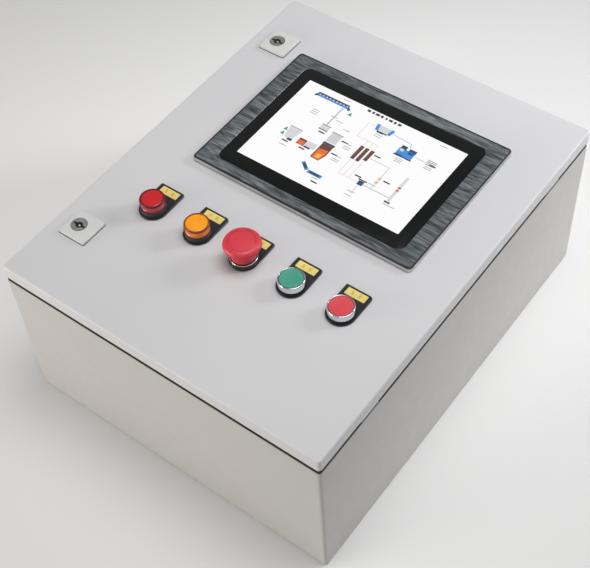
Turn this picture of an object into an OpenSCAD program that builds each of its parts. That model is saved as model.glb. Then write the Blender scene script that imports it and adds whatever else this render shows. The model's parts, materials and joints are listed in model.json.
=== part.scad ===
// Wall-mount operator enclosure with a touch panel, lying on its back with the door upwards.
// +Z is the door's outward normal, +X runs from the lock side to the hinge side,
// +Y runs from the push-buttons to the touch panel. The origin is on the wall face,
// at the centre of the four wall holes.

/* [Enclosure] */
// Outer width, along X
case_w = 400; // [380:5:440]
// Outer height when hung on a wall, along Y
case_h = 500; // [480:5:560]
// Depth of the body, from the wall face to the front flange
body_depth = 188; // [180:1:240]
// Clear gap between the body and the door's edge
door_gap = 6; // [6:0.5:8]
// Depth of the folded door, over its edge
door_depth = 16; // [15:0.5:20]
// Sheet thickness of body and door
sheet = 1.5; // [1.2:0.1:2]
// Corner radius seen from the front
corner_r = 4; // [3:0.5:8]
// Distance from the side to the outside of the sealing rim
rim_inset = 12.5; // [11:0.5:16]
// Height of the sealing rim above the front flange
rim_h = 12; // [10:0.5:12]
// Wall holes, centre to centre along X
wall_hole_x = 350; // [340:1:356]
// Wall holes, centre to centre along Y
wall_hole_y = 450; // [440:1:456]
// Diameter of the wall holes
wall_hole_d = 9; // [7:0.5:10]

/* [Hinges and locks] */
// Distance of the hinges from the middle, along Y
hinge_y = 170; // [120:1:200]
// Distance of the hinge axis from the side of the case
hinge_inset = 2; // [2:0.1:2.2]
// Height of the hinge axis above the front flange
hinge_rise = 4; // [3.8:0.1:4.2]
// Distance of the locks' axes from the side of the case
lock_inset = 31.3; // [31:0.1:40]
// Distance of the upper lock from the middle, along Y
upper_lock_y = 175.5; // [150:0.5:185]
// Distance of the lower lock from the middle, along Y
lower_lock_y = 165.5; // [150:0.5:185]
// Side of the square lock plate
lock_plate = 34.5; // [30:0.5:38]
// Distance of the plate's middle from the lock's axis, away from the side
lock_plate_shift = 3.7; // [0:0.1:5]
// Reach of the locking cam from its axis
cam_reach = 25; // [23:0.5:26]

/* [Touch panel] */
// Outer width of the bezel
hmi_w = 280; // [270:1:290]
// Outer height of the bezel
hmi_h = 198; // [190:1:205]
// Thickness of the bezel
hmi_t = 5.2; // [4:0.2:8]
// Centre of the panel along X
hmi_x = 8; // [0:1:12]
// Centre of the panel along Y
hmi_y = 74; // [65:1:80]
// Width of the touch glass
glass_w = 238; // [225:1:240]
// Height of the touch glass
glass_h = 168; // [150:1:170]
// Depth of the rear housing behind the door's face
hmi_depth = 38; // [30:1:45]

/* [Operators] */
// Distance between neighbouring 22 mm devices
pitch = 60; // [50:1:62]
// Position of the row of devices along Y
row_y = -103.2; // [-115:0.1:-100]
// Width of a legend plate
legend_w = 32; // [31:0.5:36]
// Distance from a device's axis to the top of its legend plate
legend_top = 32.5; // [30:0.5:36]
// Thickness of a legend plate
legend_t = 2.4; // [2:0.1:3]
// Radius of the emergency stop's head
estop_r = 20; // [18:0.1:20]
// Travel of the push-buttons and of the emergency stop
travel = 4; // [2:0.5:4]

/* [Inside] */
// Width of the mounting plate
plate_w = 330; // [320:1:332]
// Height of the mounting plate
plate_h = 430; // [425:1:432]
// Gap between the back of the case and the mounting plate
plate_gap = 18.5; // [12:0.5:20]
// Width of a wiring duct
duct_w = 30; // [25:1:30]
// Height of a wiring duct
duct_h = 40; // [30:1:50]

/* [Hidden] */
$fn = 48;
eps = 0.5;                                   // overshoot of a cut past a face

// case levels, along Z
door_z = body_depth + door_gap;              // lower edge of the door
face_z = door_z + door_depth;                // outer face of the door
skin_z = face_z - sheet;                     // inner face of the door
flange_z = body_depth - sheet;               // underside of the front flange
rim_w = case_w - 2 * rim_inset;              // outside of the sealing rim, along X
rim_l = case_h - 2 * rim_inset;              // outside of the sealing rim, along Y
rim_z = body_depth + rim_h;                  // top of the sealing rim

// hinge axis
hinge_x = case_w / 2 - hinge_inset;
hinge_z = body_depth + hinge_rise;
knuckle_r = 1.75;
hinge_pin_r = 1;
hinge_len = 28;
door_knuckle = 9.4;                          // length of the door's knuckle
knuckle_gap = 0.3;                           // gap between knuckles

// mounting plate
plate_z = sheet + plate_gap;                 // back of the mounting plate
plate_t = 2;
deck_z = plate_z + plate_t;                  // front of the mounting plate
stud_x = 155;
stud_y = 205;
stud_r = 4;

// rails and ducts
rail_y = [112.5, -22.5, -135];
rail_len = 250;
rail_top = deck_z + 7.5;
terminals = 28;
terminal_pitch = 6.2;
terminal_start = -90;                        // middle of the first terminal block, along X
duct_y = [180, 45, -90, -180];
duct_x = 148;
duct_wall = 1.6;
cover_t = 1.3;
side_duct_len = 390;
cross_duct_len = 260;

// cable entry in the upper end wall
entry_z = 90;
entry_w = 140;
entry_h = 60;
gland_plate_w = 172;
gland_plate_h = 92;
gland_plate_t = 2;
gland_x = 35;
gland_bore_r = 6.5;
gland_thread_r = 12.5;

// 22 mm devices: red lamp, amber lamp, emergency stop, green button, red button
device_x = [for (i = [-2:2]) i * pitch];
barrel_r = 11;
hole_r = 11.25;
legend_z = face_z + legend_t;                // top of the legend plates
barrel_z = 190;                              // lower end of every device barrel
label_w = 23.6;
label_h = 9.2;
label_y = row_y + legend_top - 6.9;          // middle of the legend insert
label_pocket = 1.1;

// lamps
lamp_base_r = 14.4;
lamp_base_h = 6.1;
lens_r = 13.6;
lens_z = legend_z + lamp_base_h;
lens_h = 9.5;

// emergency stop
collar_r = 15.3;
collar_h = 3.6;
estop_pocket_r = 13.9;
trim_r = 14.8;
skirt_r = 13.4;
estop_bore_r = 6.6;
stem_r = 6.2;
skirt_z = legend_z + collar_h + 1.6;         // lower end of the head's skirt
stem_top = skirt_z + 2.9;
head_pin_r = 4;

// push-buttons
bezel_r = 14.3;
bezel_bore_r = 12.5;
bezel_seal_h = 2;
bezel_seal_r = 14.8;
bezel_z = legend_z + bezel_seal_h;
bezel_h = 8.2;
cap_r = 12.15;
cap_t = 3.6;
cap_z = bezel_z + bezel_h + 0.6 - cap_t;     // underside of the cap's disc
plunger_r = 8.6;
plunger_z = barrel_z + travel + 0.5;         // lower end of plungers and stem
spring_r = 3.8;
spring_wire_r = 0.35;
spring_seat = 214.5;                         // upper seat of the return springs

// touch panel levels
seal_t = 0.8;
bezel_low = face_z + seal_t;
bezel_top = bezel_low + hmi_t;
glass_t = 2;
glass_top = bezel_top - 0.4;
hmi_back_z = face_z - hmi_depth;
housing_w = 258;
housing_h = 176;
housing_wall = 2.5;
cutout_w = 262;
cutout_h = 180;
clamp_x = [-90, 0, 90];

// locks
lock_x = -case_w / 2 + lock_inset;
lock_plate_t = 4;
lock_barrel_r = 10;
core_r = 8.3;
core_bore_r = 8.35;
core_top = face_z + lock_plate_t - 0.5;
cam_t = 3.2;
cam_top = flange_z - 0.6;
cam_half_w = 8;

// ---------- shared shapes ----------

// rectangle with round corners, centred
module rounded_rect(w, h, r) {
    square([w - 2 * r, h], center = true);
    square([w, h - 2 * r], center = true);
    for (sx = [-1, 1], sy = [-1, 1])
        translate([sx * (w / 2 - r), sy * (h / 2 - r)])
            circle(r);
}

module slab(w, h, t, r) {
    linear_extrude(t)
        rounded_rect(w, h, r);
}

module block(w, h, t) {
    translate([-w / 2, -h / 2, 0])
        cube([w, h, t]);
}

module ring(r_out, r_in, h) {
    difference() {
        cylinder(r = r_out, h = h);
        translate([0, 0, -eps])
            cylinder(r = r_in, h = h + 2 * eps);
    }
}

// one copy at each corner of a w by h rectangle
module at_corners(w, h) {
    for (sx = [-1, 1], sy = [-1, 1])
        translate([sx * w / 2, sy * h / 2, 0])
            children();
}

module hex(across, h) {
    cylinder(r = across / sqrt(3), h = h, $fn = 6);
}

// nut with a round flange, standing on z = 0
module flange_nut(across, bore_r, h) {
    difference() {
        union() {
            cylinder(r = across * 0.68, h = 1.4);
            hex(across, h);
        }
        translate([0, 0, -eps])
            cylinder(r = bore_r, h = h + 2 * eps);
    }
}

// pan-head screw, head above z = 0 and shank below, with a cross recess
module pan_screw(head_r, shank_r, shank_l) {
    head_h = head_r * 0.62;
    difference() {
        union() {
            cylinder(r = head_r, h = head_h * 0.5);
            translate([0, 0, head_h * 0.5])
                cylinder(r1 = head_r, r2 = head_r * 0.7, h = head_h * 0.5);
        }
        for (a = [0, 90])
            rotate(a)
                translate([0, 0, head_h])
                    cube([head_r * 1.1, head_r * 0.22, head_h], center = true);
    }
    translate([0, 0, -shank_l])
        cylinder(r = shank_r, h = shank_l);
}

// shape drawn across a rail (Y) and away from the plate (Z), extruded along the rail (X)
module along_rail(w) {
    rotate([90, 0, 90])
        linear_extrude(w, center = true)
            children();
}

// stepped housing clipped on a rail: full height h at its foot, nose_h at its front
module rail_device(w, h, depth, nose_h, nose_from) {
    foot = 5;
    along_rail(w)
        polygon([
            [-h / 2, rail_top - foot], [-17.7, rail_top - foot], [-17.7, rail_top],
            [17.7, rail_top], [17.7, rail_top - foot], [h / 2, rail_top - foot],
            [h / 2, deck_z + nose_from], [nose_h / 2, deck_z + nose_from],
            [nose_h / 2, deck_z + depth], [-nose_h / 2, deck_z + depth],
            [-nose_h / 2, deck_z + nose_from], [-h / 2, deck_z + nose_from]
        ]);
}

module on_rail(i, x) {
    translate([x, rail_y[i], 0])
        children();
}

module at_device(i) {
    translate([device_x[i], row_y, 0])
        children();
}

// side 1 is the upper lock, side -1 the lower one
module at_lock(side) {
    translate([lock_x, side > 0 ? upper_lock_y : -lower_lock_y, 0])
        children();
}

module at_hinges() {
    for (side = [-1, 1])
        translate([hinge_x, side * hinge_y, hinge_z])
            children();
}

// cylinder along Y, centred on its own middle
module rod_y(r, l) {
    rotate([90, 0, 0])
        cylinder(r = r, h = l, center = true);
}

// ---------- body ----------

module body_shell() {
    color([0.78, 0.78, 0.78])
    difference() {
        union() {
            slab(case_w, case_h, body_depth, corner_r);
            block(rim_w, rim_l, rim_z);
        }
        // inside of the case, up to the flange
        translate([0, 0, sheet])
            slab(case_w - 2 * sheet, case_h - 2 * sheet, flange_z - sheet, corner_r - sheet);
        // mouth, through the flange and the sealing rim
        translate([0, 0, flange_z - eps])
            block(rim_w - 2 * sheet, rim_l - 2 * sheet, rim_h + 2 * sheet + 2 * eps);
        at_corners(wall_hole_x, wall_hole_y)
            translate([0, 0, -eps])
                cylinder(d = wall_hole_d, h = sheet + 2 * eps);
        // cable entry
        translate([-entry_w / 2, case_h / 2 - 2 * sheet, entry_z - entry_h / 2])
            cube([entry_w, 3 * sheet, entry_h]);
        gland_plate_holes(case_h / 2 - 2 * sheet, 3 * sheet);
    }
}

module plate_studs() {
    color("silver")
    at_corners(2 * stud_x, 2 * stud_y)
        translate([0, 0, sheet])
            cylinder(r = stud_r, h = deck_z + 14 - sheet);
}

module plate_spacers() {
    color("silver")
    at_corners(2 * stud_x, 2 * stud_y)
        translate([0, 0, sheet])
            ring(7, stud_r + 0.1, plate_gap);
}

module mounting_plate() {
    color([0.72, 0.74, 0.75])
    difference() {
        translate([0, 0, plate_z])
            slab(plate_w, plate_h, plate_t, 5);
        at_corners(2 * stud_x, 2 * stud_y)
            translate([0, 0, plate_z - eps])
                cylinder(r = stud_r + 0.3, h = plate_t + 2 * eps);
        for (y = rail_y, sx = [-1, 1])
            translate([sx * (rail_len / 2 - 15), y, plate_z - eps])
                cylinder(r = 2.1, h = plate_t + 2 * eps);
    }
}

module plate_nuts() {
    color("silver")
    at_corners(2 * stud_x, 2 * stud_y)
        translate([0, 0, deck_z])
            flange_nut(13, stud_r + 0.05, 8);
}

module earth_stud() {
    color("goldenrod")
    translate([-case_w / 2 + sheet, -150, 60])
        rotate([0, 90, 0]) {
            cylinder(r = 3, h = 18);
            translate([0, 0, 3])
                flange_nut(10, 2.9, 6);
        }
}

// ---------- wiring ducts ----------

// one U-shaped channel along X
module duct_channel(len) {
    difference() {
        block(len, duct_w, duct_h);
        translate([0, 0, duct_wall])
            block(len + 2 * eps, duct_w - 2 * duct_wall, duct_h);
    }
}

// snap-on cover along X
module duct_cover(len) {
    difference() {
        block(len, duct_w + 2 * cover_t, 6);
        translate([0, 0, -eps])
            block(len + 2 * eps, duct_w, 6 - cover_t + eps);
    }
}

// the child stands for one duct of the given length; it is placed at every duct
module at_side_ducts() {
    for (sx = [-1, 1])
        translate([sx * duct_x, 0, deck_z])
            rotate(90)
                children();
}

module at_cross_ducts() {
    for (y = duct_y)
        translate([0, y, deck_z])
            children();
}

module wiring_ducts() {
    color([0.62, 0.64, 0.66]) {
        at_side_ducts()
            duct_channel(side_duct_len);
        at_cross_ducts()
            duct_channel(cross_duct_len);
    }
}

module duct_covers() {
    color([0.68, 0.70, 0.72])
    translate([0, 0, duct_h - 6 + cover_t]) {
        at_side_ducts()
            duct_cover(side_duct_len);
        at_cross_ducts()
            duct_cover(cross_duct_len);
    }
}

// ---------- rails and what is clipped on them ----------

module din_rails() {
    color([0.80, 0.80, 0.76])
    for (i = [0:2])
        on_rail(i, 0)
            difference() {
                along_rail(rail_len)
                    polygon([
                        [-13.5, deck_z], [13.5, deck_z], [13.5, rail_top - 1],
                        [17.5, rail_top - 1], [17.5, rail_top], [12.5, rail_top],
                        [12.5, deck_z + 1], [-12.5, deck_z + 1], [-12.5, rail_top],
                        [-17.5, rail_top], [-17.5, rail_top - 1], [-13.5, rail_top - 1]
                    ]);
                for (sx = [-1, 1])
                    translate([sx * (rail_len / 2 - 15), 0, deck_z - eps])
                        cylinder(r = 2.6, h = 1 + 2 * eps);
            }
}

module rail_screws() {
    color("silver")
    for (i = [0:2], sx = [-1, 1])
        on_rail(i, sx * (rail_len / 2 - 15))
            translate([0, 0, deck_z + 1])
                pan_screw(4.6, 2, 8);
}

module power_supply() {
    color([0.75, 0.76, 0.77])
    on_rail(0, -95)
        rail_device(50, 96, 98, 78, 80);
}

module controller() {
    color([0.24, 0.25, 0.27])
    on_rail(0, 8)
        rail_device(130, 90, 74, 50, 58);
}

module contactor() {
    color([0.20, 0.20, 0.21])
    on_rail(1, -85)
        rail_device(45, 76, 84, 46, 52);
}

module interface_relays() {
    color([0.86, 0.86, 0.84])
    for (k = [0:5])
        on_rail(1, -42 + 13 * k)
            rail_device(12.8, 80, 66, 36, 44);
}

module terminal_blocks() {
    color([0.60, 0.61, 0.60])
    for (k = [0:terminals - 1])
        on_rail(2, terminal_start + terminal_pitch * k)
            rail_device(terminal_pitch - 0.1, 44, 46, 26, 34);
}

module end_clamps() {
    color([0.30, 0.31, 0.32])
    for (p = [[1, -113.5], [1, 34.5], [2, -98.5], [2, 86]])
        on_rail(p[0], p[1])
            rail_device(9, 50, 30, 30, 20);
}

// ---------- cable entry ----------

// child axis turned to point out of the upper end wall
module facing_out(x, y, z) {
    translate([x, y, z])
        rotate([-90, 0, 0])
            children();
}

module gland_plate_holes(y, l) {
    for (sx = [-1, 1], sz = [-1, 1])
        facing_out(sx * (gland_plate_w / 2 - 8), y, entry_z + sz * (gland_plate_h / 2 - 8))
            cylinder(r = 2.6, h = l);
}

module gland_plate() {
    color([0.72, 0.72, 0.72])
    difference() {
        facing_out(0, case_h / 2, entry_z)
            slab(gland_plate_w, gland_plate_h, gland_plate_t, 5);
        gland_plate_holes(case_h / 2 - eps, gland_plate_t + 2 * eps);
        for (sx = [-1, 1])
            facing_out(sx * gland_x, case_h / 2 - eps, entry_z)
                cylinder(r = gland_thread_r + 0.2, h = gland_plate_t + 2 * eps);
    }
}

module gland_plate_screws() {
    color("silver")
    for (sx = [-1, 1], sz = [-1, 1])
        facing_out(sx * (gland_plate_w / 2 - 8), case_h / 2 + gland_plate_t,
                   entry_z + sz * (gland_plate_h / 2 - 8))
            pan_screw(4.6, 2.5, 9);
}

module cable_glands() {
    color([0.18, 0.18, 0.19])
    for (sx = [-1, 1])
        facing_out(sx * gland_x, case_h / 2 + gland_plate_t, entry_z)
            difference() {
                union() {
                    hex(30, 8);
                    translate([0, 0, -12])
                        cylinder(r = gland_thread_r, h = 12);
                    translate([0, 0, 8])
                        cylinder(r = 14, h = 9);
                    translate([0, 0, 17])
                        cylinder(r1 = 14, r2 = 10, h = 6);
                }
                translate([0, 0, -12 - eps])
                    cylinder(r = gland_bore_r, h = 35 + 2 * eps);
            }
}

module gland_locknuts() {
    color([0.18, 0.18, 0.19])
    for (sx = [-1, 1])
        facing_out(sx * gland_x, case_h / 2 - 5, entry_z)
            difference() {
                hex(32, 5);
                translate([0, 0, -eps])
                    cylinder(r = gland_thread_r + 0.05, h = 5 + 2 * eps);
            }
}

// ---------- hinges ----------

module fixed_hinge_leaves() {
    knuckle_l = (hinge_len - door_knuckle) / 2 - knuckle_gap;
    color("silver")
    at_hinges()
        difference() {
            union() {
                translate([-9.5, -hinge_len / 2, -hinge_rise])
                    cube([8.7, hinge_len, 1]);
                for (side = [-1, 1])
                    translate([0, side * (hinge_len - knuckle_l) / 2, 0]) {
                        rod_y(knuckle_r, knuckle_l);
                        translate([-1.6, -knuckle_l / 2, -hinge_rise])
                            cube([1.6, knuckle_l, hinge_rise]);
                    }
            }
            rod_y(hinge_pin_r + 0.02, hinge_len + 2 * eps);
        }
}

module hinge_pins() {
    color("gray")
    at_hinges()
        rod_y(hinge_pin_r, hinge_len + 1);
}

module door_hinge_leaves() {
    color("silver")
    at_hinges()
        difference() {
            union() {
                rod_y(knuckle_r, door_knuckle);
                translate([-0.5, -door_knuckle / 2, 0])
                    cube([1, door_knuckle, 4]);
                translate([-0.5, -hinge_len / 2, 2.2])
                    cube([1, hinge_len, 12]);
            }
            rod_y(hinge_pin_r + 0.05, door_knuckle + 2 * eps);
        }
}

// ---------- door ----------

module door_panel() {
    color([0.80, 0.80, 0.81])
    difference() {
        translate([0, 0, door_z])
            slab(case_w, case_h, door_depth, corner_r);
        translate([0, 0, door_z - eps])
            slab(case_w - 2 * sheet, case_h - 2 * sheet, door_depth - sheet + eps, corner_r - sheet);
        translate([hmi_x, hmi_y, skin_z - eps])
            slab(cutout_w, cutout_h, sheet + 2 * eps, 2);
        for (i = [0:4])
            at_device(i)
                translate([0, 0, skin_z - eps])
                    cylinder(r = hole_r, h = sheet + 2 * eps);
        for (side = [-1, 1])
            at_lock(side)
                translate([0, 0, skin_z - eps])
                    cylinder(r = lock_barrel_r + 0.2, h = sheet + 2 * eps);
    }
}

module door_gasket() {
    overlap = 5.5;
    low = rim_z + 0.3;
    color([0.15, 0.15, 0.15])
    translate([0, 0, low])
        difference() {
            slab(rim_w + 2 * overlap - 2, rim_l + 2 * overlap - 2, skin_z - low, 6);
            translate([0, 0, -eps])
                slab(rim_w - 2 * sheet - 2 * overlap + 2, rim_l - 2 * sheet - 2 * overlap + 2,
                     skin_z - low + 2 * eps, 3);
        }
}

module door_earth_stud() {
    color("goldenrod")
    translate([150, -200, skin_z])
        rotate([180, 0, 0]) {
            cylinder(r = 3, h = 16);
            translate([0, 0, 3])
                flange_nut(10, 2.9, 6);
        }
}

// ---------- touch panel ----------

module hmi_bezel() {
    color([0.30, 0.31, 0.32])
    translate([hmi_x, hmi_y, bezel_low])
        difference() {
            slab(hmi_w, hmi_h, hmi_t, 4.5);
            translate([0, 0, -eps])
                slab(glass_w + 0.2, glass_h + 0.2, hmi_t + 2 * eps, 9.1);
        }
}

module hmi_seal() {
    color([0.10, 0.10, 0.10])
    translate([hmi_x, hmi_y, face_z])
        difference() {
            slab(hmi_w - 2, hmi_h - 2, seal_t, 4);
            translate([0, 0, -eps])
                slab(cutout_w + 1, cutout_h + 1, seal_t + 2 * eps, 2);
        }
}

module hmi_glass() {
    color([0.05, 0.05, 0.06])
    translate([hmi_x, hmi_y, glass_top - glass_t])
        slab(glass_w, glass_h, glass_t, 9);
}

module hmi_display() {
    display_t = 9;
    color([0.85, 0.87, 0.90])
    translate([hmi_x, hmi_y, glass_top - glass_t - display_t])
        slab(222, 146, display_t, 2);
}

module hmi_circuit_board() {
    color([0.05, 0.30, 0.16])
    translate([hmi_x, hmi_y, hmi_back_z + 16])
        block(236, 156, 1.6);
}

module hmi_rear_housing() {
    tray_h = bezel_low - hmi_back_z;
    color([0.22, 0.22, 0.23])
    translate([hmi_x, hmi_y, hmi_back_z]) {
        difference() {
            slab(housing_w, housing_h, tray_h, 3);
            translate([0, 0, housing_wall])
                slab(housing_w - 2 * housing_wall, housing_h - 2 * housing_wall, tray_h, 1);
        }
        // posts that carry the circuit board
        at_corners(220, 140)
            translate([0, 0, housing_wall])
                cylinder(r = 3, h = 16 - housing_wall);
    }
}

// one copy at each clamp, turned so that +Y points away from the housing
module at_clamps() {
    for (side = [-1, 1], x = clamp_x)
        translate([hmi_x + x, hmi_y + side * housing_h / 2, 0])
            mirror([0, (1 - side) / 2, 0])
                children();
}

module hmi_clamps() {
    color("silver")
    at_clamps()
        difference() {
            translate([-5, 0, skin_z - 16])
                cube([10, 12, 8]);
            translate([0, 7, skin_z - 16 - eps])
                cylinder(r = 2.05, h = 8 + 2 * eps);
        }
}

module hmi_clamp_screws() {
    color("silver")
    at_clamps()
        translate([0, 7, skin_z - 21])
            rotate([180, 0, 0])
                pan_screw(3.6, 2, 21);
}

module hmi_connectors() {
    // across X, along Z and distance from the middle of the housing
    sockets = [[31, 12, -70], [16, 14, -20], [14, 7, 15], [24, 12, 60]];
    color([0.10, 0.35, 0.20])
    for (s = sockets)
        translate([hmi_x + s[2] - s[0] / 2, hmi_y - housing_h / 2 - 7, hmi_back_z + 5])
            cube([s[0], 7, s[1]]);
}

// ---------- 22 mm devices ----------

module legend_plate() {
    difference() {
        translate([0, 0, face_z])
            linear_extrude(legend_t)
                union() {
                    circle(legend_w / 2);
                    translate([-legend_w / 2, 0])
                        square([legend_w, legend_top - 2]);
                    translate([0, legend_top - 8])
                        rounded_rect(legend_w, 16, 1.5);
                }
        translate([0, 0, face_z - eps])
            cylinder(r = hole_r, h = legend_t + 2 * eps);
        translate([0, label_y - row_y, legend_z - label_pocket])
            block(label_w + 0.3, label_h + 0.3, label_pocket + eps);
    }
}

module legend_plates() {
    color([0.08, 0.08, 0.09])
    for (i = [0:4])
        at_device(i)
            legend_plate();
}

module legend_inserts() {
    color([0.90, 0.80, 0.45])
    for (i = [0:4])
        translate([device_x[i], label_y, legend_z - label_pocket])
            block(label_w, label_h, label_pocket - 0.2);
}

module device_nuts() {
    nut_t = 4;
    color([0.12, 0.12, 0.12])
    for (i = [0:4])
        at_device(i)
            translate([0, 0, skin_z - nut_t])
                difference() {
                    hex(28, nut_t);
                    translate([0, 0, -eps])
                        cylinder(r = barrel_r + 0.05, h = nut_t + 2 * eps);
                }
}

module lamp_bases() {
    color([0.10, 0.10, 0.11])
    for (i = [0, 1])
        at_device(i)
            difference() {
                union() {
                    translate([0, 0, barrel_z])
                        cylinder(r = barrel_r, h = legend_z - barrel_z);
                    translate([0, 0, legend_z])
                        cylinder(r = lamp_base_r, h = lamp_base_h);
                }
                translate([0, 0, barrel_z - eps])
                    cylinder(r = 8.6, h = 60);
            }
}

module lamp_lens() {
    translate([0, 0, lens_z])
        rotate_extrude()
            polygon([
                [0, lens_h], [lens_r - 1.1, lens_h], [lens_r - 0.3, lens_h - 0.4],
                [lens_r, lens_h - 1.2], [lens_r, lens_h - 2.2], [lens_r - 0.4, lens_h - 2.8],
                [lens_r - 0.4, 0], [lens_r - 2.2, 0], [lens_r - 2.2, lens_h - 2], [0, lens_h - 2]
            ]);
}

module red_lamp_lens() {
    color([0.80, 0.08, 0.10])
    at_device(0)
        lamp_lens();
}

module amber_lamp_lens() {
    color([0.96, 0.60, 0.05])
    at_device(1)
        lamp_lens();
}

module lamp_modules() {
    color([0.14, 0.14, 0.15])
    for (i = [0, 1])
        at_device(i) {
            translate([0, 0, barrel_z - 24])
                block(28, 38, 24);
            translate([0, 0, barrel_z])
                cylinder(r = 8, h = 26);
            translate([0, 0, barrel_z + 26])
                cylinder(r1 = 4, r2 = 3, h = 6);
        }
}

module estop_collar() {
    color([0.10, 0.10, 0.11])
    at_device(2)
        difference() {
            union() {
                translate([0, 0, barrel_z])
                    cylinder(r = barrel_r, h = legend_z - barrel_z);
                translate([0, 0, legend_z])
                    cylinder(r = collar_r, h = collar_h);
            }
            translate([0, 0, barrel_z - eps])
                cylinder(r = estop_bore_r, h = 60);
            translate([0, 0, legend_z + 0.8])
                cylinder(r = estop_pocket_r, h = collar_h);
        }
}

module estop_trim_ring() {
    color([0.80, 0.81, 0.82])
    at_device(2)
        translate([0, 0, legend_z + collar_h])
            ring(trim_r, estop_pocket_r, 1);
}

module estop_stem() {
    color([0.15, 0.15, 0.16])
    at_device(2)
        difference() {
            union() {
                translate([0, 0, plunger_z])
                    cylinder(r = stem_r, h = stem_top - plunger_z);
                translate([0, 0, stem_top])
                    cylinder(r = head_pin_r, h = 10.5);
            }
            translate([0, 0, plunger_z - eps])
                cylinder(r = 4.8, h = spring_seat - plunger_z + eps);
        }
}

module estop_head() {
    color([0.85, 0.20, 0.24])
    at_device(2)
        translate([0, 0, skirt_z])
            difference() {
                rotate_extrude($fn = 96)
                    polygon([
                        [0, 0], [skirt_r, 0], [skirt_r, 4.4], [14.3, 7.4], [15.6, 10.8], [17, 13.4],
                        [estop_r - 1.2, 14.4], [estop_r - 0.3, 15.4], [estop_r, 16.8],
                        [estop_r, 18.2], [estop_r - 0.5, 19.8], [estop_r - 1.8, 21.2],
                        [estop_r - 4.5, 22.1], [estop_r - 9, 22.7], [0, 23]
                    ]);
                translate([0, 0, -eps])
                    cylinder(r = estop_bore_r, h = 3.2 + eps);
                cylinder(r = head_pin_r + 0.05, h = 13.8);
            }
}

module button_bezels() {
    color([0.82, 0.83, 0.84])
    for (i = [3, 4])
        at_device(i)
            difference() {
                union() {
                    translate([0, 0, barrel_z])
                        cylinder(r = barrel_r, h = bezel_z - barrel_z);
                    translate([0, 0, bezel_z])
                        cylinder(r = bezel_r, h = bezel_h);
                }
                translate([0, 0, barrel_z - eps])
                    cylinder(r = plunger_r + 0.4, h = 60);
                translate([0, 0, bezel_z + 0.8])
                    cylinder(r = bezel_bore_r, h = bezel_h);
            }
}

module bezel_seals() {
    color([0.08, 0.08, 0.08])
    for (i = [3, 4])
        at_device(i)
            translate([0, 0, legend_z])
                ring(bezel_seal_r, barrel_r + 0.1, bezel_seal_h);
}

module button_cap() {
    difference() {
        union() {
            translate([0, 0, plunger_z])
                cylinder(r = plunger_r, h = cap_z - plunger_z);
            translate([0, 0, cap_z])
                cylinder(r = cap_r, h = cap_t - 0.8);
            translate([0, 0, cap_z + cap_t - 0.8])
                cylinder(r1 = cap_r, r2 = cap_r - 0.8, h = 0.8);
        }
        translate([0, 0, plunger_z - eps])
            cylinder(r = 5, h = spring_seat - plunger_z + eps);
    }
}

module green_cap() {
    color([0.30, 0.62, 0.53])
    at_device(3)
        button_cap();
}

module red_cap() {
    color([0.87, 0.33, 0.36])
    at_device(4)
        button_cap();
}

module contact_blocks() {
    color([0.16, 0.16, 0.17])
    for (i = [2:4])
        at_device(i) {
            translate([0, 0, barrel_z - 9])
                block(29, 36, 9);
            translate([0, 0, barrel_z - 30])
                block(26, 42, 21);
        }
}

// coil of round wire, as rings of points joined side to side
function coil_ring(a, turns, h, r, wire, sides) = [
    for (k = [0:sides - 1])
        let (b = 360 * k / sides, rr = r + wire * cos(b))
            [rr * cos(a), rr * sin(a), wire + (h - 2 * wire) * a / (360 * turns) + wire * sin(b)]
];

module coil(h, r, wire, turns) {
    sides = 5;
    steps_per_turn = 12;
    steps = steps_per_turn * turns;
    points = [
        for (s = [0:steps])
            each coil_ring(s * 360 / steps_per_turn, turns, h, r, wire, sides)
    ];
    walls = [
        for (s = [0:steps - 1], k = [0:sides - 1])
            let (n = (k + 1) % sides, a = s * sides, b = a + sides)
                [a + k, a + n, b + n, b + k]
    ];
    near_end = [[for (k = [0:sides - 1]) sides - 1 - k]];
    far_end = [[for (k = [0:sides - 1]) steps * sides + k]];
    polyhedron(points, concat(walls, near_end, far_end));
}

module return_spring(i) {
    color("silver")
    at_device(i)
        translate([0, 0, barrel_z])
            coil(spring_seat - barrel_z, spring_r, spring_wire_r, 7);
}

module estop_spring() {
    return_spring(2);
}

module green_spring() {
    return_spring(3);
}

module red_spring() {
    return_spring(4);
}

// ---------- locks ----------

module lock_housings() {
    color([0.78, 0.77, 0.74])
    for (side = [-1, 1])
        at_lock(side)
            difference() {
                union() {
                    translate([lock_plate_shift, 0, face_z])
                        slab(lock_plate, lock_plate, lock_plate_t, 1.5);
                    translate([0, 0, flange_z])
                        cylinder(r = lock_barrel_r, h = face_z - flange_z);
                }
                translate([0, 0, flange_z - eps])
                    cylinder(r = core_bore_r, h = 40);
            }
}

module lock_nuts() {
    nut_t = 5;
    color("silver")
    for (side = [-1, 1])
        at_lock(side)
            translate([0, 0, skin_z - nut_t])
                difference() {
                    rotate(30)
                        hex(22, nut_t);
                    translate([0, 0, -eps])
                        cylinder(r = lock_barrel_r + 0.05, h = nut_t + 2 * eps);
                }
}

module lock_core() {
    key_depth = 5;
    difference() {
        union() {
            translate([0, 0, flange_z - 0.3])
                cylinder(r = core_r, h = core_top - flange_z + 0.3);
            translate([0, 0, cam_top - cam_t])
                block(8, 8, flange_z - cam_top + cam_t);
            translate([0, 0, cam_top - cam_t - 4])
                hex(10, 4);
        }
        // socket for a double-bit key, with its wings along X
        translate([0, 0, core_top - key_depth])
            difference() {
                union() {
                    cylinder(r = 4.1, h = key_depth + eps);
                    block(15.2, 2.6, key_depth + eps);
                }
                translate([0, 0, -eps])
                    cylinder(r = 1.2, h = key_depth + eps - 1);
            }
    }
}

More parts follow.
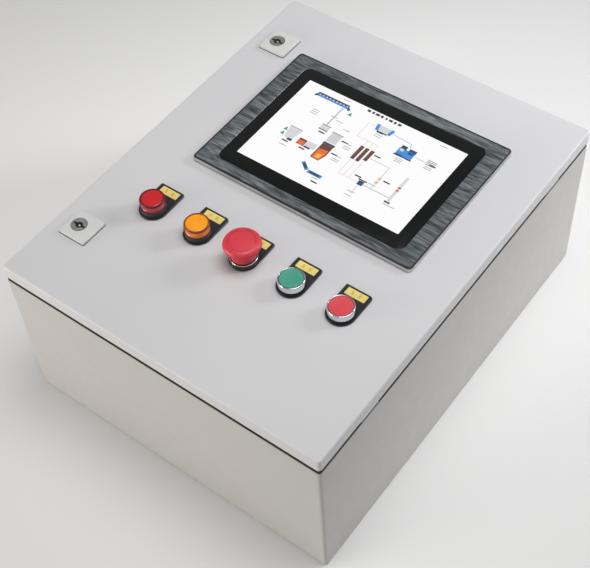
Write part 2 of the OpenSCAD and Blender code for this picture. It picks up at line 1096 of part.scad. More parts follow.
module lock_cam() {
    translate([0, 0, cam_top - cam_t])
        difference() {
            linear_extrude(cam_t)
                union() {
                    circle(cam_half_w);
                    translate([-cam_half_w, 0])
                        square([2 * cam_half_w, cam_reach]);
                }
            translate([0, 0, -eps])
                block(8.1, 8.1, cam_t + 2 * eps);
        }
}

module upper_lock_core() {
    color([0.70, 0.70, 0.71])
    at_lock(1)
        lock_core();
}

module upper_lock_cam() {
    color("silver")
    at_lock(1)
        lock_cam();
}

module lower_lock_core() {
    color([0.70, 0.70, 0.71])
    at_lock(-1)
        lock_core();
}

module lower_lock_cam() {
    color("silver")
    at_lock(-1)
        lock_cam();
}

body_shell();
plate_studs();
plate_spacers();
mounting_plate();
plate_nuts();
wiring_ducts();
duct_covers();
din_rails();
rail_screws();
power_supply();
controller();
contactor();
interface_relays();
terminal_blocks();
end_clamps();
earth_stud();
gland_plate();
gland_plate_screws();
cable_glands();
gland_locknuts();
fixed_hinge_leaves();
hinge_pins();
door_panel();
door_gasket();
door_hinge_leaves();
door_earth_stud();
hmi_bezel();
hmi_seal();
hmi_glass();
hmi_display();
hmi_circuit_board();
hmi_rear_housing();
hmi_clamps();
hmi_clamp_screws();
hmi_connectors();
legend_plates();
legend_inserts();
device_nuts();
lamp_bases();
red_lamp_lens();
amber_lamp_lens();
lamp_modules();
estop_collar();
estop_trim_ring();
button_bezels();
bezel_seals();
contact_blocks();
lock_housings();
lock_nuts();
upper_lock_core();
upper_lock_cam();
lower_lock_core();
lower_lock_cam();
estop_stem();
estop_head();
estop_spring();
green_cap();
green_spring();
red_cap();
red_spring();
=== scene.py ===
import json
import math

import bmesh
import bpy
from mathutils import Matrix, Vector


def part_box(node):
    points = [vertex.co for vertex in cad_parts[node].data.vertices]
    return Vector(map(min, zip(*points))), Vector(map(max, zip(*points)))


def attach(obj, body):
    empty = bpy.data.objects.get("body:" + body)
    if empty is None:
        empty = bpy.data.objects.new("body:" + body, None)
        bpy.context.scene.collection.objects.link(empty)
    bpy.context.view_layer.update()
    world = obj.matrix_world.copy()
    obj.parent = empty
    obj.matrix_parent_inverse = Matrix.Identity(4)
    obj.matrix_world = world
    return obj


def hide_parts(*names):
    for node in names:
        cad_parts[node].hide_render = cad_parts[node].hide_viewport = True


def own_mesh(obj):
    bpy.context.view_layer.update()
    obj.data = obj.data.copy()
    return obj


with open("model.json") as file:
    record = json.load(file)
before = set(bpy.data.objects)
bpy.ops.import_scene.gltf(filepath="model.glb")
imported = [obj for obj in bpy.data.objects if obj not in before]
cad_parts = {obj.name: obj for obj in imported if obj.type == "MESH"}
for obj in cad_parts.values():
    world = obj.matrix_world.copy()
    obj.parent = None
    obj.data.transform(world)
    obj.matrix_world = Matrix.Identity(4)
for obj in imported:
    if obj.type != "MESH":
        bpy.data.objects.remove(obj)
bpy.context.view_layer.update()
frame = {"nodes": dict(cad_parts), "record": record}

# The enclosure lies on its back. Lengths are in millimetres until a shape becomes a mesh.
MM = 0.001
scene = bpy.context.scene
home = {node: body for body, nodes in frame["record"]["behaviour"]["bodies"].items() for node in nodes}
slot_of = {part["node"]: part["material_slot"] for part in frame["record"]["subparts"]}
shown_instead = set()


def extent(node):
    """Lowest and highest corner of a CAD node, in millimetres."""
    return tuple([c / MM for c in corner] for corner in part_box(node))


def middle(node):
    low, high = extent(node)
    return [(a + b) / 2 for a, b in zip(low, high)]


# ---------- camera ----------

def make_camera():
    view = bpy.data.cameras.new("studio_camera")
    view.lens, view.sensor_width = 75.18, 36
    view.clip_start, view.clip_end = 0.05, 50
    camera = bpy.data.objects.new("studio_camera", view)
    right = Vector((0.80159, 0.59579, -0.04987))
    up = Vector((-0.44566, 0.65103, 0.61446))
    back = right.cross(up)
    turn = Matrix((right, up, back)).transposed()
    camera.matrix_world = Matrix.Translation(Vector((547.49, -673.28, 1170.79)) * MM) @ turn.to_4x4()
    scene.collection.objects.link(camera)
    scene.camera = camera


make_camera()


# ---------- finishes ----------

def tone(r, g, b):
    """Linear colour of an 8-bit shade."""
    return tuple((c / 255 / 12.92) if c <= 10 else ((c / 255 + 0.055) / 1.055) ** 2.4 for c in (r, g, b))


def shade(colour, factor):
    return tuple(min(1.0, c * factor) for c in colour)


class Finish:
    """One procedural material: a shader and the patterns that feed it."""

    def __init__(self, name, colour, roughness, metallic=0.0, **settings):
        self.material = bpy.data.materials.new(name)
        self.material.use_nodes = True
        self.material.diffuse_color = (*colour, 1)
        self.nodes, self.links = self.material.node_tree.nodes, self.material.node_tree.links
        self.shader = self.nodes["Principled BSDF"]
        self.place = self.nodes.new("ShaderNodeTexCoord").outputs["Object"]
        self.colour, self.last_bump = colour, None
        self.put("Base Color", (*colour, 1))
        self.put("Roughness", roughness)
        self.put("Metallic", metallic)
        for key, value in settings.items():
            self.put(key.replace("_", " "), value)

    def put(self, socket, value):
        self.shader.inputs[socket].default_value = value

    def mapped(self, stretch, turn=(0, 0, 0)):
        mapping = self.nodes.new("ShaderNodeMapping")
        self.links.new(self.place, mapping.inputs["Vector"])
        mapping.inputs["Scale"].default_value = stretch
        mapping.inputs["Rotation"].default_value = turn
        return mapping.outputs[0]

    def noise(self, scale, detail=3, stretch=None, distortion=0.0):
        node = self.nodes.new("ShaderNodeTexNoise")
        self.links.new(self.mapped(stretch) if stretch else self.place, node.inputs["Vector"])
        node.inputs["Scale"].default_value = scale
        node.inputs["Detail"].default_value = detail
        node.inputs["Distortion"].default_value = distortion
        return node.outputs[0]

    def cells(self, scale):
        node = self.nodes.new("ShaderNodeTexVoronoi")
        self.links.new(self.place, node.inputs["Vector"])
        node.inputs["Scale"].default_value = scale
        grey = self.nodes.new("ShaderNodeRGBToBW")
        self.links.new(node.outputs["Color"], grey.inputs[0])
        return grey.outputs[0]

    def ranged(self, factor, low, high, start=0.3, end=0.7):
        node = self.nodes.new("ShaderNodeMapRange")
        self.links.new(factor, node.inputs["Value"])
        for key, value in zip(("From Min", "From Max", "To Min", "To Max"), (start, end, low, high)):
            node.inputs[key].default_value = value
        return node.outputs[0]

    def mottle(self, factor, dark=0.94, light=1.04, start=0.3, end=0.7, tint=(1, 1, 1)):
        """Base colour between two shades of itself."""
        ramp = self.nodes.new("ShaderNodeValToRGB")
        self.links.new(factor, ramp.inputs[0])
        ends = ramp.color_ramp.elements
        ends[0].position, ends[1].position = start, end
        ends[0].color = (*[c * t * dark for c, t in zip(self.colour, tint)], 1)
        ends[1].color = (*shade(self.colour, light), 1)
        self.links.new(ramp.outputs[0], self.shader.inputs["Base Color"])
        return self

    def polish(self, factor, low, high, start=0.3, end=0.7):
        self.links.new(self.ranged(factor, low, high, start, end), self.shader.inputs["Roughness"])
        return self

    def relief(self, height, strength, depth):
        """Bump of the given depth in millimetres, over any bump before it."""
        bump = self.nodes.new("ShaderNodeBump")
        bump.inputs["Strength"].default_value = strength
        bump.inputs["Distance"].default_value = depth * MM
        self.links.new(height, bump.inputs["Height"])
        if self.last_bump:
            self.links.new(self.last_bump, bump.inputs["Normal"])
        self.last_bump = bump.outputs[0]
        self.links.new(self.last_bump, self.shader.inputs["Normal"])
        return self


def powder_coat(name, colour):
    """Stoved powder paint: fine orange peel and a faint drift of shade."""
    finish = Finish(name, colour, 0.46, Specular_IOR_Level=0.42)
    finish.mottle(finish.noise(5, 2), 0.975, 1.015)
    finish.polish(finish.noise(60, 4), 0.40, 0.54)
    return finish.relief(finish.noise(420, 2), 0.22, 0.10).relief(finish.noise(1700, 1), 0.10, 0.05)


def moulded(name, colour, roughness=0.5, grain=1600, depth=0.05, **settings):
    """Moulded plastic with the fine grain of an eroded mould."""
    finish = Finish(name, colour, roughness, **settings)
    finish.mottle(finish.noise(45, 3), 0.92, 1.06)
    finish.polish(finish.noise(140, 3), roughness - 0.06, roughness + 0.08)
    return finish.relief(finish.noise(grain, 2), 0.35, depth)


def smooth_plastic(name, colour, roughness, **settings):
    """Polished moulding: nearly even, with a slight waviness under the gloss."""
    finish = Finish(name, colour, roughness, Coat_Weight=0.6, Coat_Roughness=0.12, **settings)
    finish.mottle(finish.noise(70, 2), 0.95, 1.04)
    return finish.relief(finish.noise(180, 2), 0.05, 0.08)


def plated(name, colour, low, high, grain=90, stretch=None, drift=0.9):
    """Plated or bare metal with cloudy polish and fine scratches."""
    finish = Finish(name, colour, low, 1.0)
    finish.mottle(finish.noise(35, 4), drift, 1.06, tint=(0.99, 1.0, 1.02))
    finish.polish(finish.noise(grain, 5, stretch), low, high)
    return finish.relief(finish.noise(grain * 9, 3, stretch), 0.12, 0.02)


def rubber(name, colour, grain=900):
    """Closed foam or matt rubber."""
    finish = Finish(name, colour, 0.85, Specular_IOR_Level=0.3)
    finish.mottle(finish.noise(220, 3), 0.75, 1.35)
    return finish.relief(finish.noise(grain, 3), 0.6, 0.12)


def galvanised():
    """Zinc spangle: flat crystals a few millimetres across, each with its own shade."""
    finish = Finish("galvanised_spangle", tone(190, 194, 198), 0.38, 0.85)
    finish.mottle(finish.cells(130), 0.80, 1.12, 0.1, 0.9)
    finish.polish(finish.cells(131), 0.30, 0.50, 0.1, 0.9)
    return finish.relief(finish.noise(700, 2), 0.15, 0.03)


def brushed_dark():
    """Dark anodised aluminium with wavy brush marks across the panel."""
    finish = Finish("dark_brushed_aluminium", tone(92, 97, 100), 0.46, 0.35, Anisotropic=0.4)
    marks = finish.noise(1.0, 5, (30, 330, 60), 1.3)
    finish.mottle(marks, 0.30, 1.95, 0.37, 0.66, (0.97, 1.0, 1.01))
    finish.polish(finish.noise(1.0, 4, (40, 900, 60), 0.4), 0.34, 0.56)
    return finish.relief(marks, 0.35, 0.12).relief(finish.noise(1.0, 2, (60, 2400, 90)), 0.2, 0.04)


def lit_picture():
    """A lit screen behind glass, which takes its colours from the mesh."""
    finish = Finish("lit_picture", (0.02, 0.02, 0.02), 0.12, Coat_Weight=0.8, Coat_Roughness=0.04)
    ink = finish.nodes.new("ShaderNodeAttribute")
    ink.attribute_name = "ink"
    finish.links.new(ink.outputs["Color"], finish.shader.inputs["Emission Color"])
    finish.put("Emission Strength", 0.97)
    finish.polish(finish.noise(30, 2), 0.10, 0.16)
    return finish


def black_glass():
    finish = Finish("black_bordered_glass", tone(7, 8, 9), 0.10, Specular_IOR_Level=0.36)
    finish.mottle(finish.noise(18, 2), 0.85, 1.2)
    return finish.polish(finish.noise(25, 4), 0.07, 0.20)


finishes = {
    # painted shade: the case has the door's paint, set darker and warmer here for the shade on its side walls
    "painted_case": powder_coat("case_powder_coat_painted_shade", tone(185, 183, 180)),
    "painted_door": powder_coat("door_powder_coat", tone(202, 202, 204)),
    "galvanised_steel": galvanised(),
    "zinc_plated_steel": plated("bright_zinc_plate", tone(196, 200, 206), 0.24, 0.42),
    "brass": plated("turned_brass", tone(206, 170, 96), 0.22, 0.38),
    "duct_grey": moulded("duct_grey_pvc", tone(168, 172, 176), 0.55),
    "device_light_grey": moulded("device_light_grey_plastic", tone(200, 201, 200), 0.5),
    "device_dark_grey": moulded("device_dark_grey_plastic", tone(62, 65, 70), 0.5),
    "gland_black": moulded("gland_nylon", tone(30, 30, 32), 0.45),
    "rubber_black": rubber("black_rubber", tone(26, 26, 27)),
    "brushed_aluminium_dark": brushed_dark(),
    "touch_glass": black_glass(),
    "screen": lit_picture(),
    "circuit_green": smooth_plastic("solder_mask", tone(20, 92, 52), 0.35),
    "housing_black": moulded("black_housing_plastic", tone(36, 36, 39), 0.48),
    "connector_green": moulded("connector_green_plastic", tone(46, 132, 82), 0.45),
    "legend_black": moulded("satin_black_plate", tone(27, 28, 31), 0.34, 1100, 0.03),
    "label_yellow": moulded("pale_yellow_insert", tone(226, 204, 118), 0.42, 900, 0.03),
    "lens_red": smooth_plastic("red_lens", tone(180, 22, 42), 0.16),
    "lens_amber": smooth_plastic("amber_lens", tone(232, 122, 14), 0.16),
    "chrome": plated("bright_chrome", tone(222, 224, 228), 0.07, 0.16, 120, None, 0.96),
    "estop_red": moulded("emergency_red_plastic", tone(206, 52, 66), 0.42, 1300, 0.04),
    "cap_green": moulded("green_cap_plastic", tone(66, 154, 128), 0.36, 1300, 0.03),
    "cap_red": moulded("red_cap_plastic", tone(214, 66, 76), 0.36, 1300, 0.03),
    "lock_plate_grey": powder_coat("satin_grey_die_casting", tone(204, 204, 202)),
    "lock_nickel": plated("satin_nickel", tone(184, 183, 180), 0.34, 0.50, 160),
    "spring_steel": plated("drawn_spring_wire", tone(170, 172, 176), 0.25, 0.42, 300),
}
extras = {
    "bright_red": smooth_plastic("lit_red_disc", tone(190, 14, 26), 0.2,
                                 Emission_Color=(*tone(214, 20, 30), 1), Emission_Strength=0.06),
    "bright_amber": smooth_plastic("lit_amber_disc", tone(238, 152, 3), 0.2,
                                   Emission_Color=(*tone(252, 160, 2), 1), Emission_Strength=0.08),
    # painted shade: the lens rims are the lens colour darkened for the shade round the lit disc
    "red_rim_painted_shade": moulded("red_lens_rim_painted_shade", tone(84, 6, 15), 0.34, 900, 0.02),
    "amber_rim_painted_shade": moulded("amber_lens_rim_painted_shade", tone(128, 54, 8), 0.34, 900, 0.02),
    # painted shade: the arrows are raised ribs in a darker red standing in for the shade of engraved grooves
    "arrow_red": moulded("arrow_red_painted_groove_shade", tone(158, 34, 46), 0.5, 1300, 0.02),
    # painted shade: the dark ring round each lock core
    "gap_shade_steel": plated("painted_gap_shade_steel", tone(66, 68, 70), 0.4, 0.55, 200),
    # painted shade: grey-brown of the strip under the door's edge, standing in for the gap's shade
    "gap_shade_grey": moulded("gap_shade_grey_plastic", tone(74, 72, 68), 0.7, 900, 0.04),
    "pale_aluminium": plated("pale_satin_aluminium", tone(206, 206, 206), 0.36, 0.5, 200, (1, 1, 8)),
    "black_edge": moulded("black_anodised_edge", tone(20, 21, 23), 0.35, 900, 0.02),
    "ink": moulded("printed_grey_ink", tone(158, 142, 88), 0.5, 900, 0.01),
    "dark_ink": moulded("printed_dark_ink", tone(70, 72, 76), 0.5, 900, 0.01),
    "label_white": moulded("white_marker_plastic", tone(226, 227, 226), 0.45, 900, 0.02),
    # painted shade: near-black fill for openings, wells, vents and sockets where shade falls
    "painted_shade_black": moulded("painted_shadow_black", tone(16, 16, 17), 0.6),
    "led_green": smooth_plastic("green_indicator", tone(70, 205, 96), 0.25,
                                Emission_Color=(*tone(70, 225, 96), 1), Emission_Strength=0.3),
    "actuator_blue": moulded("blue_actuator_plastic", tone(54, 96, 158), 0.42),
}


# ---------- shapes ----------

SIDES = (-1, 1)
OUTWARD = Matrix.Rotation(math.radians(-90), 4, "X")     # turns +Z to +Y, out of the upper end wall


def corners(x, y):
    """The four places at plus and minus x and y."""
    return [(sx * x, sy * y) for sx in SIDES for sy in SIDES]


def polar(radius, angle):
    """Point at an angle in degrees."""
    return radius * math.cos(math.radians(angle)), radius * math.sin(math.radians(angle))


def hexagon(radius):
    return [polar(radius, angle) for angle in range(0, 360, 60)]


def rounded(width, height, radius, steps=6):
    """Outline of a rectangle with round corners, counter-clockwise."""
    outline = []
    for k, (sx, sy) in enumerate(((1, 1), (-1, 1), (-1, -1), (1, -1))):
        for s in range(steps + 1):
            a = math.radians(90 * (k + s / steps))
            outline.append((sx * (width / 2 - radius) + radius * math.cos(a),
                            sy * (height / 2 - radius) + radius * math.sin(a)))
    return outline


def eased(path, closed=False, steps=4):
    """A path of (a, b) or (a, b, radius) points, with each given radius worked in."""
    out = []
    for i, point in enumerate(path):
        if len(point) < 3 or (not closed and i in (0, len(path) - 1)):
            out.append(point[:2])
            continue
        here = Vector(point[:2])
        before, after = Vector(path[i - 1][:2]), Vector(path[(i + 1) % len(path)][:2])
        start = here + (before - here).normalized() * point[2]
        end = here + (after - here).normalized() * point[2]
        for s in range(steps + 1):
            t = s / steps
            out.append(tuple(start * (1 - t) ** 2 + here * (2 * t * (1 - t)) + end * t * t))
    return out


class Solid:
    """Points in millimetres and faces, which become one mesh."""

    def __init__(self):
        self.points, self.faces = [], []

    def add(self, points, faces):
        first = len(self.points)
        self.points += [tuple(p) for p in points]
        self.faces += [[first + i for i in face] for face in faces]
        return self

    def loft(self, rings, hollow=False):
        """Rings of equally many points, joined in order. A hollow loft closes on its first ring."""
        n, count = len(rings[0]), len(rings)
        faces = []
        for a in range(count if hollow else count - 1):
            b = (a + 1) % count
            faces += [[a * n + i, a * n + (i + 1) % n, b * n + (i + 1) % n, b * n + i] for i in range(n)]
        if not hollow:
            faces += [list(range(n)), [(count - 1) * n + i for i in range(n)]]
        return self.add([p for ring in rings for p in ring], faces)

    def plates(self, rings, centre=(0, 0), hollow=False, steps=6):
        """Rounded rectangles of (width, height, corner, z)."""
        return self.loft([[(x + centre[0], y + centre[1], z) for x, y in rounded(w, h, r, steps)]
                          for w, h, r, z in rings], hollow)

    def swept(self, width, height, corner, profile, centre=(0, 0), hollow=True):
        """A section of (inset, z, easing) carried round a rounded rectangle."""
        rings = [(width - 2 * i, height - 2 * i, max(corner - i, 0.3), z) for i, z in eased(profile, hollow)]
        return self.plates(rings, centre, hollow)

    def turned(self, profile, centre=(0, 0), hollow=False, segments=64, steps=4):
        """A section of (radius, z, easing) turned about a vertical axis."""
        angles = [2 * math.pi * k / segments for k in range(segments)]
        return self.loft([[(centre[0] + r * math.cos(a), centre[1] + r * math.sin(a), z) for a in angles]
                          for r, z in eased(profile, hollow, steps)], hollow)

    def prism(self, outline, low, high, edge=0.0, centre=(0, 0)):
        """An outline with straight walls, pulled in by edge at its top and bottom rims."""
        levels = [(low, 0), (high, 0)]
        if edge:
            levels = [(low, edge), (low + edge, 0), (high - edge, 0), (high, edge)]
        rings = []
        for z, inset in levels:
            ring = []
            for i, (x, y) in enumerate(outline):
                before = Vector(outline[i - 1]) - Vector((x, y))
                after = Vector(outline[(i + 1) % len(outline)]) - Vector((x, y))
                inward = Vector((-after.y, after.x)).normalized() + Vector((before.y, -before.x)).normalized()
                move = inward.normalized() * inset if inward.length > 1e-6 else Vector((0, 0))
                ring.append((x + move.x + centre[0], y + move.y + centre[1], z))
            rings.append(ring)
        return self.loft(rings)

    def block(self, size, centre, edge=0.4):
        """A block with broken edges, standing at centre (x, y, lowest z)."""
        w, d, h = size
        e = min(edge, w / 3, d / 3, h / 3)
        rings = [(w - 2 * e, d - 2 * e, e, 0), (w, d, 1.2 * e, e), (w, d, 1.2 * e, h - e),
                 (w - 2 * e, d - 2 * e, e, h)]
        return self.plates([(a, b, c, centre[2] + z) for a, b, c, z in rings], centre[:2], steps=2)

    def moved(self, change):
        self.points = [tuple(change @ Vector(p)) for p in self.points]
        return self

    def mesh(self, name="shape"):
        data = bpy.data.meshes.new(name)
        data.from_pydata([(x * MM, y * MM, z * MM) for x, y, z in self.points], [], self.faces)
        shape = bmesh.new()
        shape.from_mesh(data)
        bmesh.ops.remove_doubles(shape, verts=shape.verts, dist=1e-7)
        bmesh.ops.recalc_face_normals(shape, faces=shape.faces)
        shape.to_mesh(data)
        shape.free()
        return data


def scratch(mesh):
    item = bpy.data.objects.new("scratch", mesh)
    scene.collection.objects.link(item)
    return item


def settled(item):
    """The evaluated mesh of a scratch object, which is then removed."""
    bpy.context.view_layer.update()
    result = bpy.data.meshes.new_from_object(item.evaluated_get(bpy.context.evaluated_depsgraph_get()))
    bpy.data.objects.remove(item)
    return result


def cut(mesh, tool):
    """mesh with the tool's volume taken away."""
    item, cutter = scratch(mesh), scratch(tool if isinstance(tool, bpy.types.Mesh) else tool.mesh())
    saw = item.modifiers.new("cut", "BOOLEAN")
    saw.operation, saw.solver, saw.object = "DIFFERENCE", "EXACT", cutter
    result = settled(item)
    bpy.data.objects.remove(cutter)
    return result


def piece(name, mesh, node, slot=None, finish=None, stands=True):
    """A finished piece on a CAD node's body. Where it stands for the node, the node is hidden."""
    mesh = mesh.mesh() if isinstance(mesh, Solid) else mesh
    mesh.name = name
    for face in mesh.polygons:
        face.use_smooth = True
    mesh.set_sharp_from_angle(angle=math.radians(34))
    mesh.materials.clear()
    mesh.materials.append((extras[finish] if finish else finishes[slot or slot_of[node]]).material)
    item = bpy.data.objects.new(name, mesh)
    scene.collection.objects.link(item)
    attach(item, home[node])
    slot or slot_of[node]
    if stands:
        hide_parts(node)
        shown_instead.add(node)
    return item


def detail(name, mesh, node, slot=None, finish=None):
    return piece(name, mesh, node, slot, finish, stands=False)


def bevelled(node, width, angle=28):
    """The CAD node's own shape, merged, with its sharp edges broken."""
    shape = bmesh.new()
    shape.from_mesh(frame["nodes"][node].data)
    bmesh.ops.remove_doubles(shape, verts=shape.verts, dist=1e-6)
    bmesh.ops.dissolve_limit(shape, angle_limit=math.radians(1), verts=shape.verts, edges=shape.edges)
    sharp = [e for e in shape.edges if len(e.link_faces) == 2 and e.calc_face_angle(0) > math.radians(angle)]
    bmesh.ops.bevel(shape, geom=sharp, offset=width * MM, segments=2, profile=0.6, affect="EDGES",
                    clamp_overlap=True)
    bmesh.ops.recalc_face_normals(shape, faces=shape.faces)
    data = bpy.data.meshes.new(node)
    shape.to_mesh(data)
    shape.free()
    return data


def copied(name, node, width=0.35):
    """A piece with the CAD node's own shape, its sharp edges broken by width."""
    piece(name, bevelled(node, width), node)


# ---------- Geometry Nodes ----------

GRID_SIZES = {"Columns": "Int", "Rows": "Int", "Column_Pitch": "Float", "Row_Pitch": "Float",
              "Start": "Vector"}


class Recipe:
    """A Geometry Nodes tree with named inputs."""

    def __init__(self, name, **sizes):
        self.tree = bpy.data.node_groups.new(name, "GeometryNodeTree")
        self.keys = {}
        for label, kind in {**sizes, "Finish": "Material"}.items():
            socket = self.tree.interface.new_socket(label.replace("_", " "), in_out="INPUT",
                                                    socket_type="NodeSocket" + kind)
            self.keys[label] = socket.identifier
        self.tree.interface.new_socket("Geometry", in_out="OUTPUT", socket_type="NodeSocketGeometry")
        self.given = self.tree.nodes.new("NodeGroupInput")

    def size(self, label):
        return self.given.outputs[label.replace("_", " ")]

    def node(self, kind, feeds=None, **settings):
        item = self.tree.nodes.new(kind)
        for key, value in settings.items():
            setattr(item, key, value)
        for key, value in (feeds or {}).items():
            for one in value if isinstance(value, list) else [value]:
                if isinstance(one, bpy.types.NodeSocket):
                    self.tree.links.new(one, item.inputs[key])
                else:
                    item.inputs[key].default_value = one
        return item.outputs[0]

    def math(self, operation, a, b=0.0):
        return self.node("ShaderNodeMath", {0: a, 1: b}, operation=operation)

    def vector(self, x=0.0, y=0.0, z=0.0):
        return self.node("ShaderNodeCombineXYZ", {"X": x, "Y": y, "Z": z})

    def part(self, label):
        return self.node("GeometryNodeObjectInfo", {"Object": self.size(label)}).node.outputs["Geometry"]

    def line(self, count, offset, start=None):
        feeds = {"Count": count, "Offset": offset}
        if start is not None:
            feeds["Start Location"] = start
        return self.node("GeometryNodeMeshLine", feeds)

    def copies(self, points, instance, **more):
        return self.node("GeometryNodeInstanceOnPoints", {"Points": points, "Instance": instance, **more})

    def grid(self):
        """Points in rows and columns, as GRID_SIZES gives them."""
        line = self.line(self.size("Columns"), self.vector(self.size("Column_Pitch")), self.size("Start"))
        column = self.line(self.size("Rows"), self.vector(y=self.size("Row_Pitch")))
        return self.node("GeometryNodeRealizeInstances", {0: self.copies(line, column)})

    def placed(self, geometry, place, **more):
        return self.node("GeometryNodeTransform", {"Geometry": geometry, "Translation": place, **more})

    def end(self, geometry):
        real = self.node("GeometryNodeRealizeInstances", {"Geometry": geometry})
        done = self.node("GeometryNodeSetMaterial", {"Geometry": real, "Material": self.size("Finish")})
        self.tree.links.new(done, self.tree.nodes.new("NodeGroupOutput").inputs[0])
        return self

    def make(self, finish, **values):
        """The tree's result as a plain mesh. Meshes given as parts are placed as scratch objects."""
        item, parts = scratch(bpy.data.meshes.new("carrier")), []
        modifier = item.modifiers.new(self.tree.name, "NODES")
        modifier.node_group = self.tree
        for label, value in {**values, "Finish": finish.material}.items():
            if isinstance(value, Solid):
                value = value.mesh()
            if isinstance(value, bpy.types.Mesh):
                value = scratch(value)
                parts.append(value)
            modifier[self.keys[label]] = value
        result = settled(item)
        for part in parts:
            bpy.data.objects.remove(part)
        return result


def rows_recipe():
    """A part repeated in rows and columns."""
    r = Recipe("rows_of_parts", Part="Object", **GRID_SIZES)
    return r.end(r.copies(r.grid(), r.part("Part")))


def ring_recipe():
    """A part repeated round a vertical axis, each copy turned to face outwards."""
    r = Recipe("ring_of_parts", Part="Object", Count="Int", Radius="Float", Centre="Vector")
    circle = r.node("GeometryNodeMeshCircle", {"Vertices": r.size("Count"), "Radius": r.size("Radius")})
    step = r.math("DIVIDE", 2 * math.pi, r.size("Count"))
    turn = r.vector(z=r.math("MULTIPLY", r.node("GeometryNodeInputIndex"), step))
    return r.end(r.placed(r.copies(circle, r.part("Part"), Rotation=turn), r.size("Centre")))


def places_recipe():
    """A part at every point of a mesh, each turned about its own axis by a seeded angle."""
    r = Recipe("parts_at_places", Part="Object", Places="Object", Tilt="Vector", Spread="Float", Seed="Int")
    angle = r.node("FunctionNodeRandomValue", {"Max": r.size("Spread"), "Seed": r.size("Seed")},
                   data_type="FLOAT")
    tilted = r.copies(r.part("Places"), r.part("Part"), Rotation=r.size("Tilt"))
    return r.end(r.node("GeometryNodeRotateInstances", {"Instances": tilted, "Rotation": r.vector(z=angle)}))


def perforation_recipe():
    """A sheet with rows of openings cut through it."""
    r = Recipe("perforated_sheet", Sheet="Object", Opening="Object", **GRID_SIZES)
    openings = r.node("GeometryNodeRealizeInstances", {0: r.copies(r.grid(), r.part("Opening"))})
    return r.end(r.node("GeometryNodeMeshBoolean", {"Mesh 1": r.part("Sheet"), "Mesh 2": openings},
                        operation="DIFFERENCE", solver="EXACT"))


def duct_recipe():
    """A slotted duct: a floor, two low walls and two combs of fingers."""
    r = Recipe("slotted_duct", Length="Float", Width="Float", Height="Float", Wall="Float",
               Solid_Height="Float", Finger="Float", Pitch="Float", Place="Vector", Turn="Float")
    wall, low = r.size("Wall"), r.size("Solid_Height")
    half = r.math("MULTIPLY", r.math("SUBTRACT", r.size("Width"), wall), 0.5)
    tall = r.math("SUBTRACT", r.size("Height"), low)
    count = r.math("FLOOR", r.math("DIVIDE", r.size("Length"), r.size("Pitch")))
    first = r.math("MULTIPLY", r.math("MULTIPLY", r.math("SUBTRACT", count, 1.0), r.size("Pitch")), -0.5)

    def bar(x, y, z):
        return r.node("GeometryNodeMeshCube", {"Size": r.vector(x, y, z)})

    def lifted(geometry, y, z):
        return r.placed(geometry, r.vector(0.0, y, z))

    pieces = [lifted(bar(r.size("Length"), r.size("Width"), wall), 0.0, r.math("MULTIPLY", wall, 0.5))]
    for side in (-1.0, 1.0):
        y = r.math("MULTIPLY", half, side)
        pieces.append(lifted(bar(r.size("Length"), wall, low), y, r.math("MULTIPLY", low, 0.5)))
        # just under half, so that the fingers sink into the low wall a little
        finger_middle = r.math("ADD", low, r.math("MULTIPLY", tall, 0.499))
        line = r.line(count, r.vector(r.size("Pitch")), r.vector(first, y, finger_middle))
        pieces.append(r.copies(line, bar(r.size("Finger"), wall, tall)))
    joined_up = r.node("GeometryNodeJoinGeometry", {0: pieces})
    return r.end(r.placed(joined_up, r.size("Place"), Rotation=r.vector(z=r.size("Turn"))))


def coil_recipe():
    """A coil of round wire."""
    r = Recipe("wire_coil", Turns="Float", Radius="Float", Wire="Float", Height="Float", Place="Vector")
    path = r.node("GeometryNodeCurveSpiral", {
        "Resolution": 28, "Rotations": r.size("Turns"), "Start Radius": r.size("Radius"),
        "End Radius": r.size("Radius"), "Height": r.size("Height")})
    section = r.node("GeometryNodeCurvePrimitiveCircle", {"Resolution": 10, "Radius": r.size("Wire")})
    tube = r.node("GeometryNodeCurveToMesh", {"Curve": path, "Profile Curve": section, "Fill Caps": True})
    return r.end(r.placed(tube, r.size("Place")))


rows, ring, places = rows_recipe(), ring_recipe(), places_recipe()
perforation, duct, coil = perforation_recipe(), duct_recipe(), coil_recipe()


def metres(*values):
    return tuple(v * MM for v in values)


def in_rows(part, start, columns, pitch, count_y=1, pitch_y=10.0):
    return rows.make(finishes["chrome"], Part=part, Columns=columns, Rows=count_y, Column_Pitch=pitch * MM,
                     Row_Pitch=pitch_y * MM, Start=metres(*start))


def at_places(part, points, tilt=(0.0, 0.0, 0.0), spread=2 * math.pi, seed=3):
    spots = bpy.data.meshes.new("places")
    spots.from_pydata([metres(*p) for p in points], [], [])
    return places.make(finishes["chrome"], Part=part, Places=spots, Tilt=tilt, Spread=spread, Seed=seed)


def joined(*meshes):
    """Several meshes as one."""
    whole = bmesh.new()
    for mesh in meshes:
        whole.from_mesh(mesh.mesh() if isinstance(mesh, Solid) else mesh)
    data = bpy.data.meshes.new("joined")
    whole.to_mesh(data)
    whole.free()
    return data


# ---------- sizes taken from the CAD model ----------

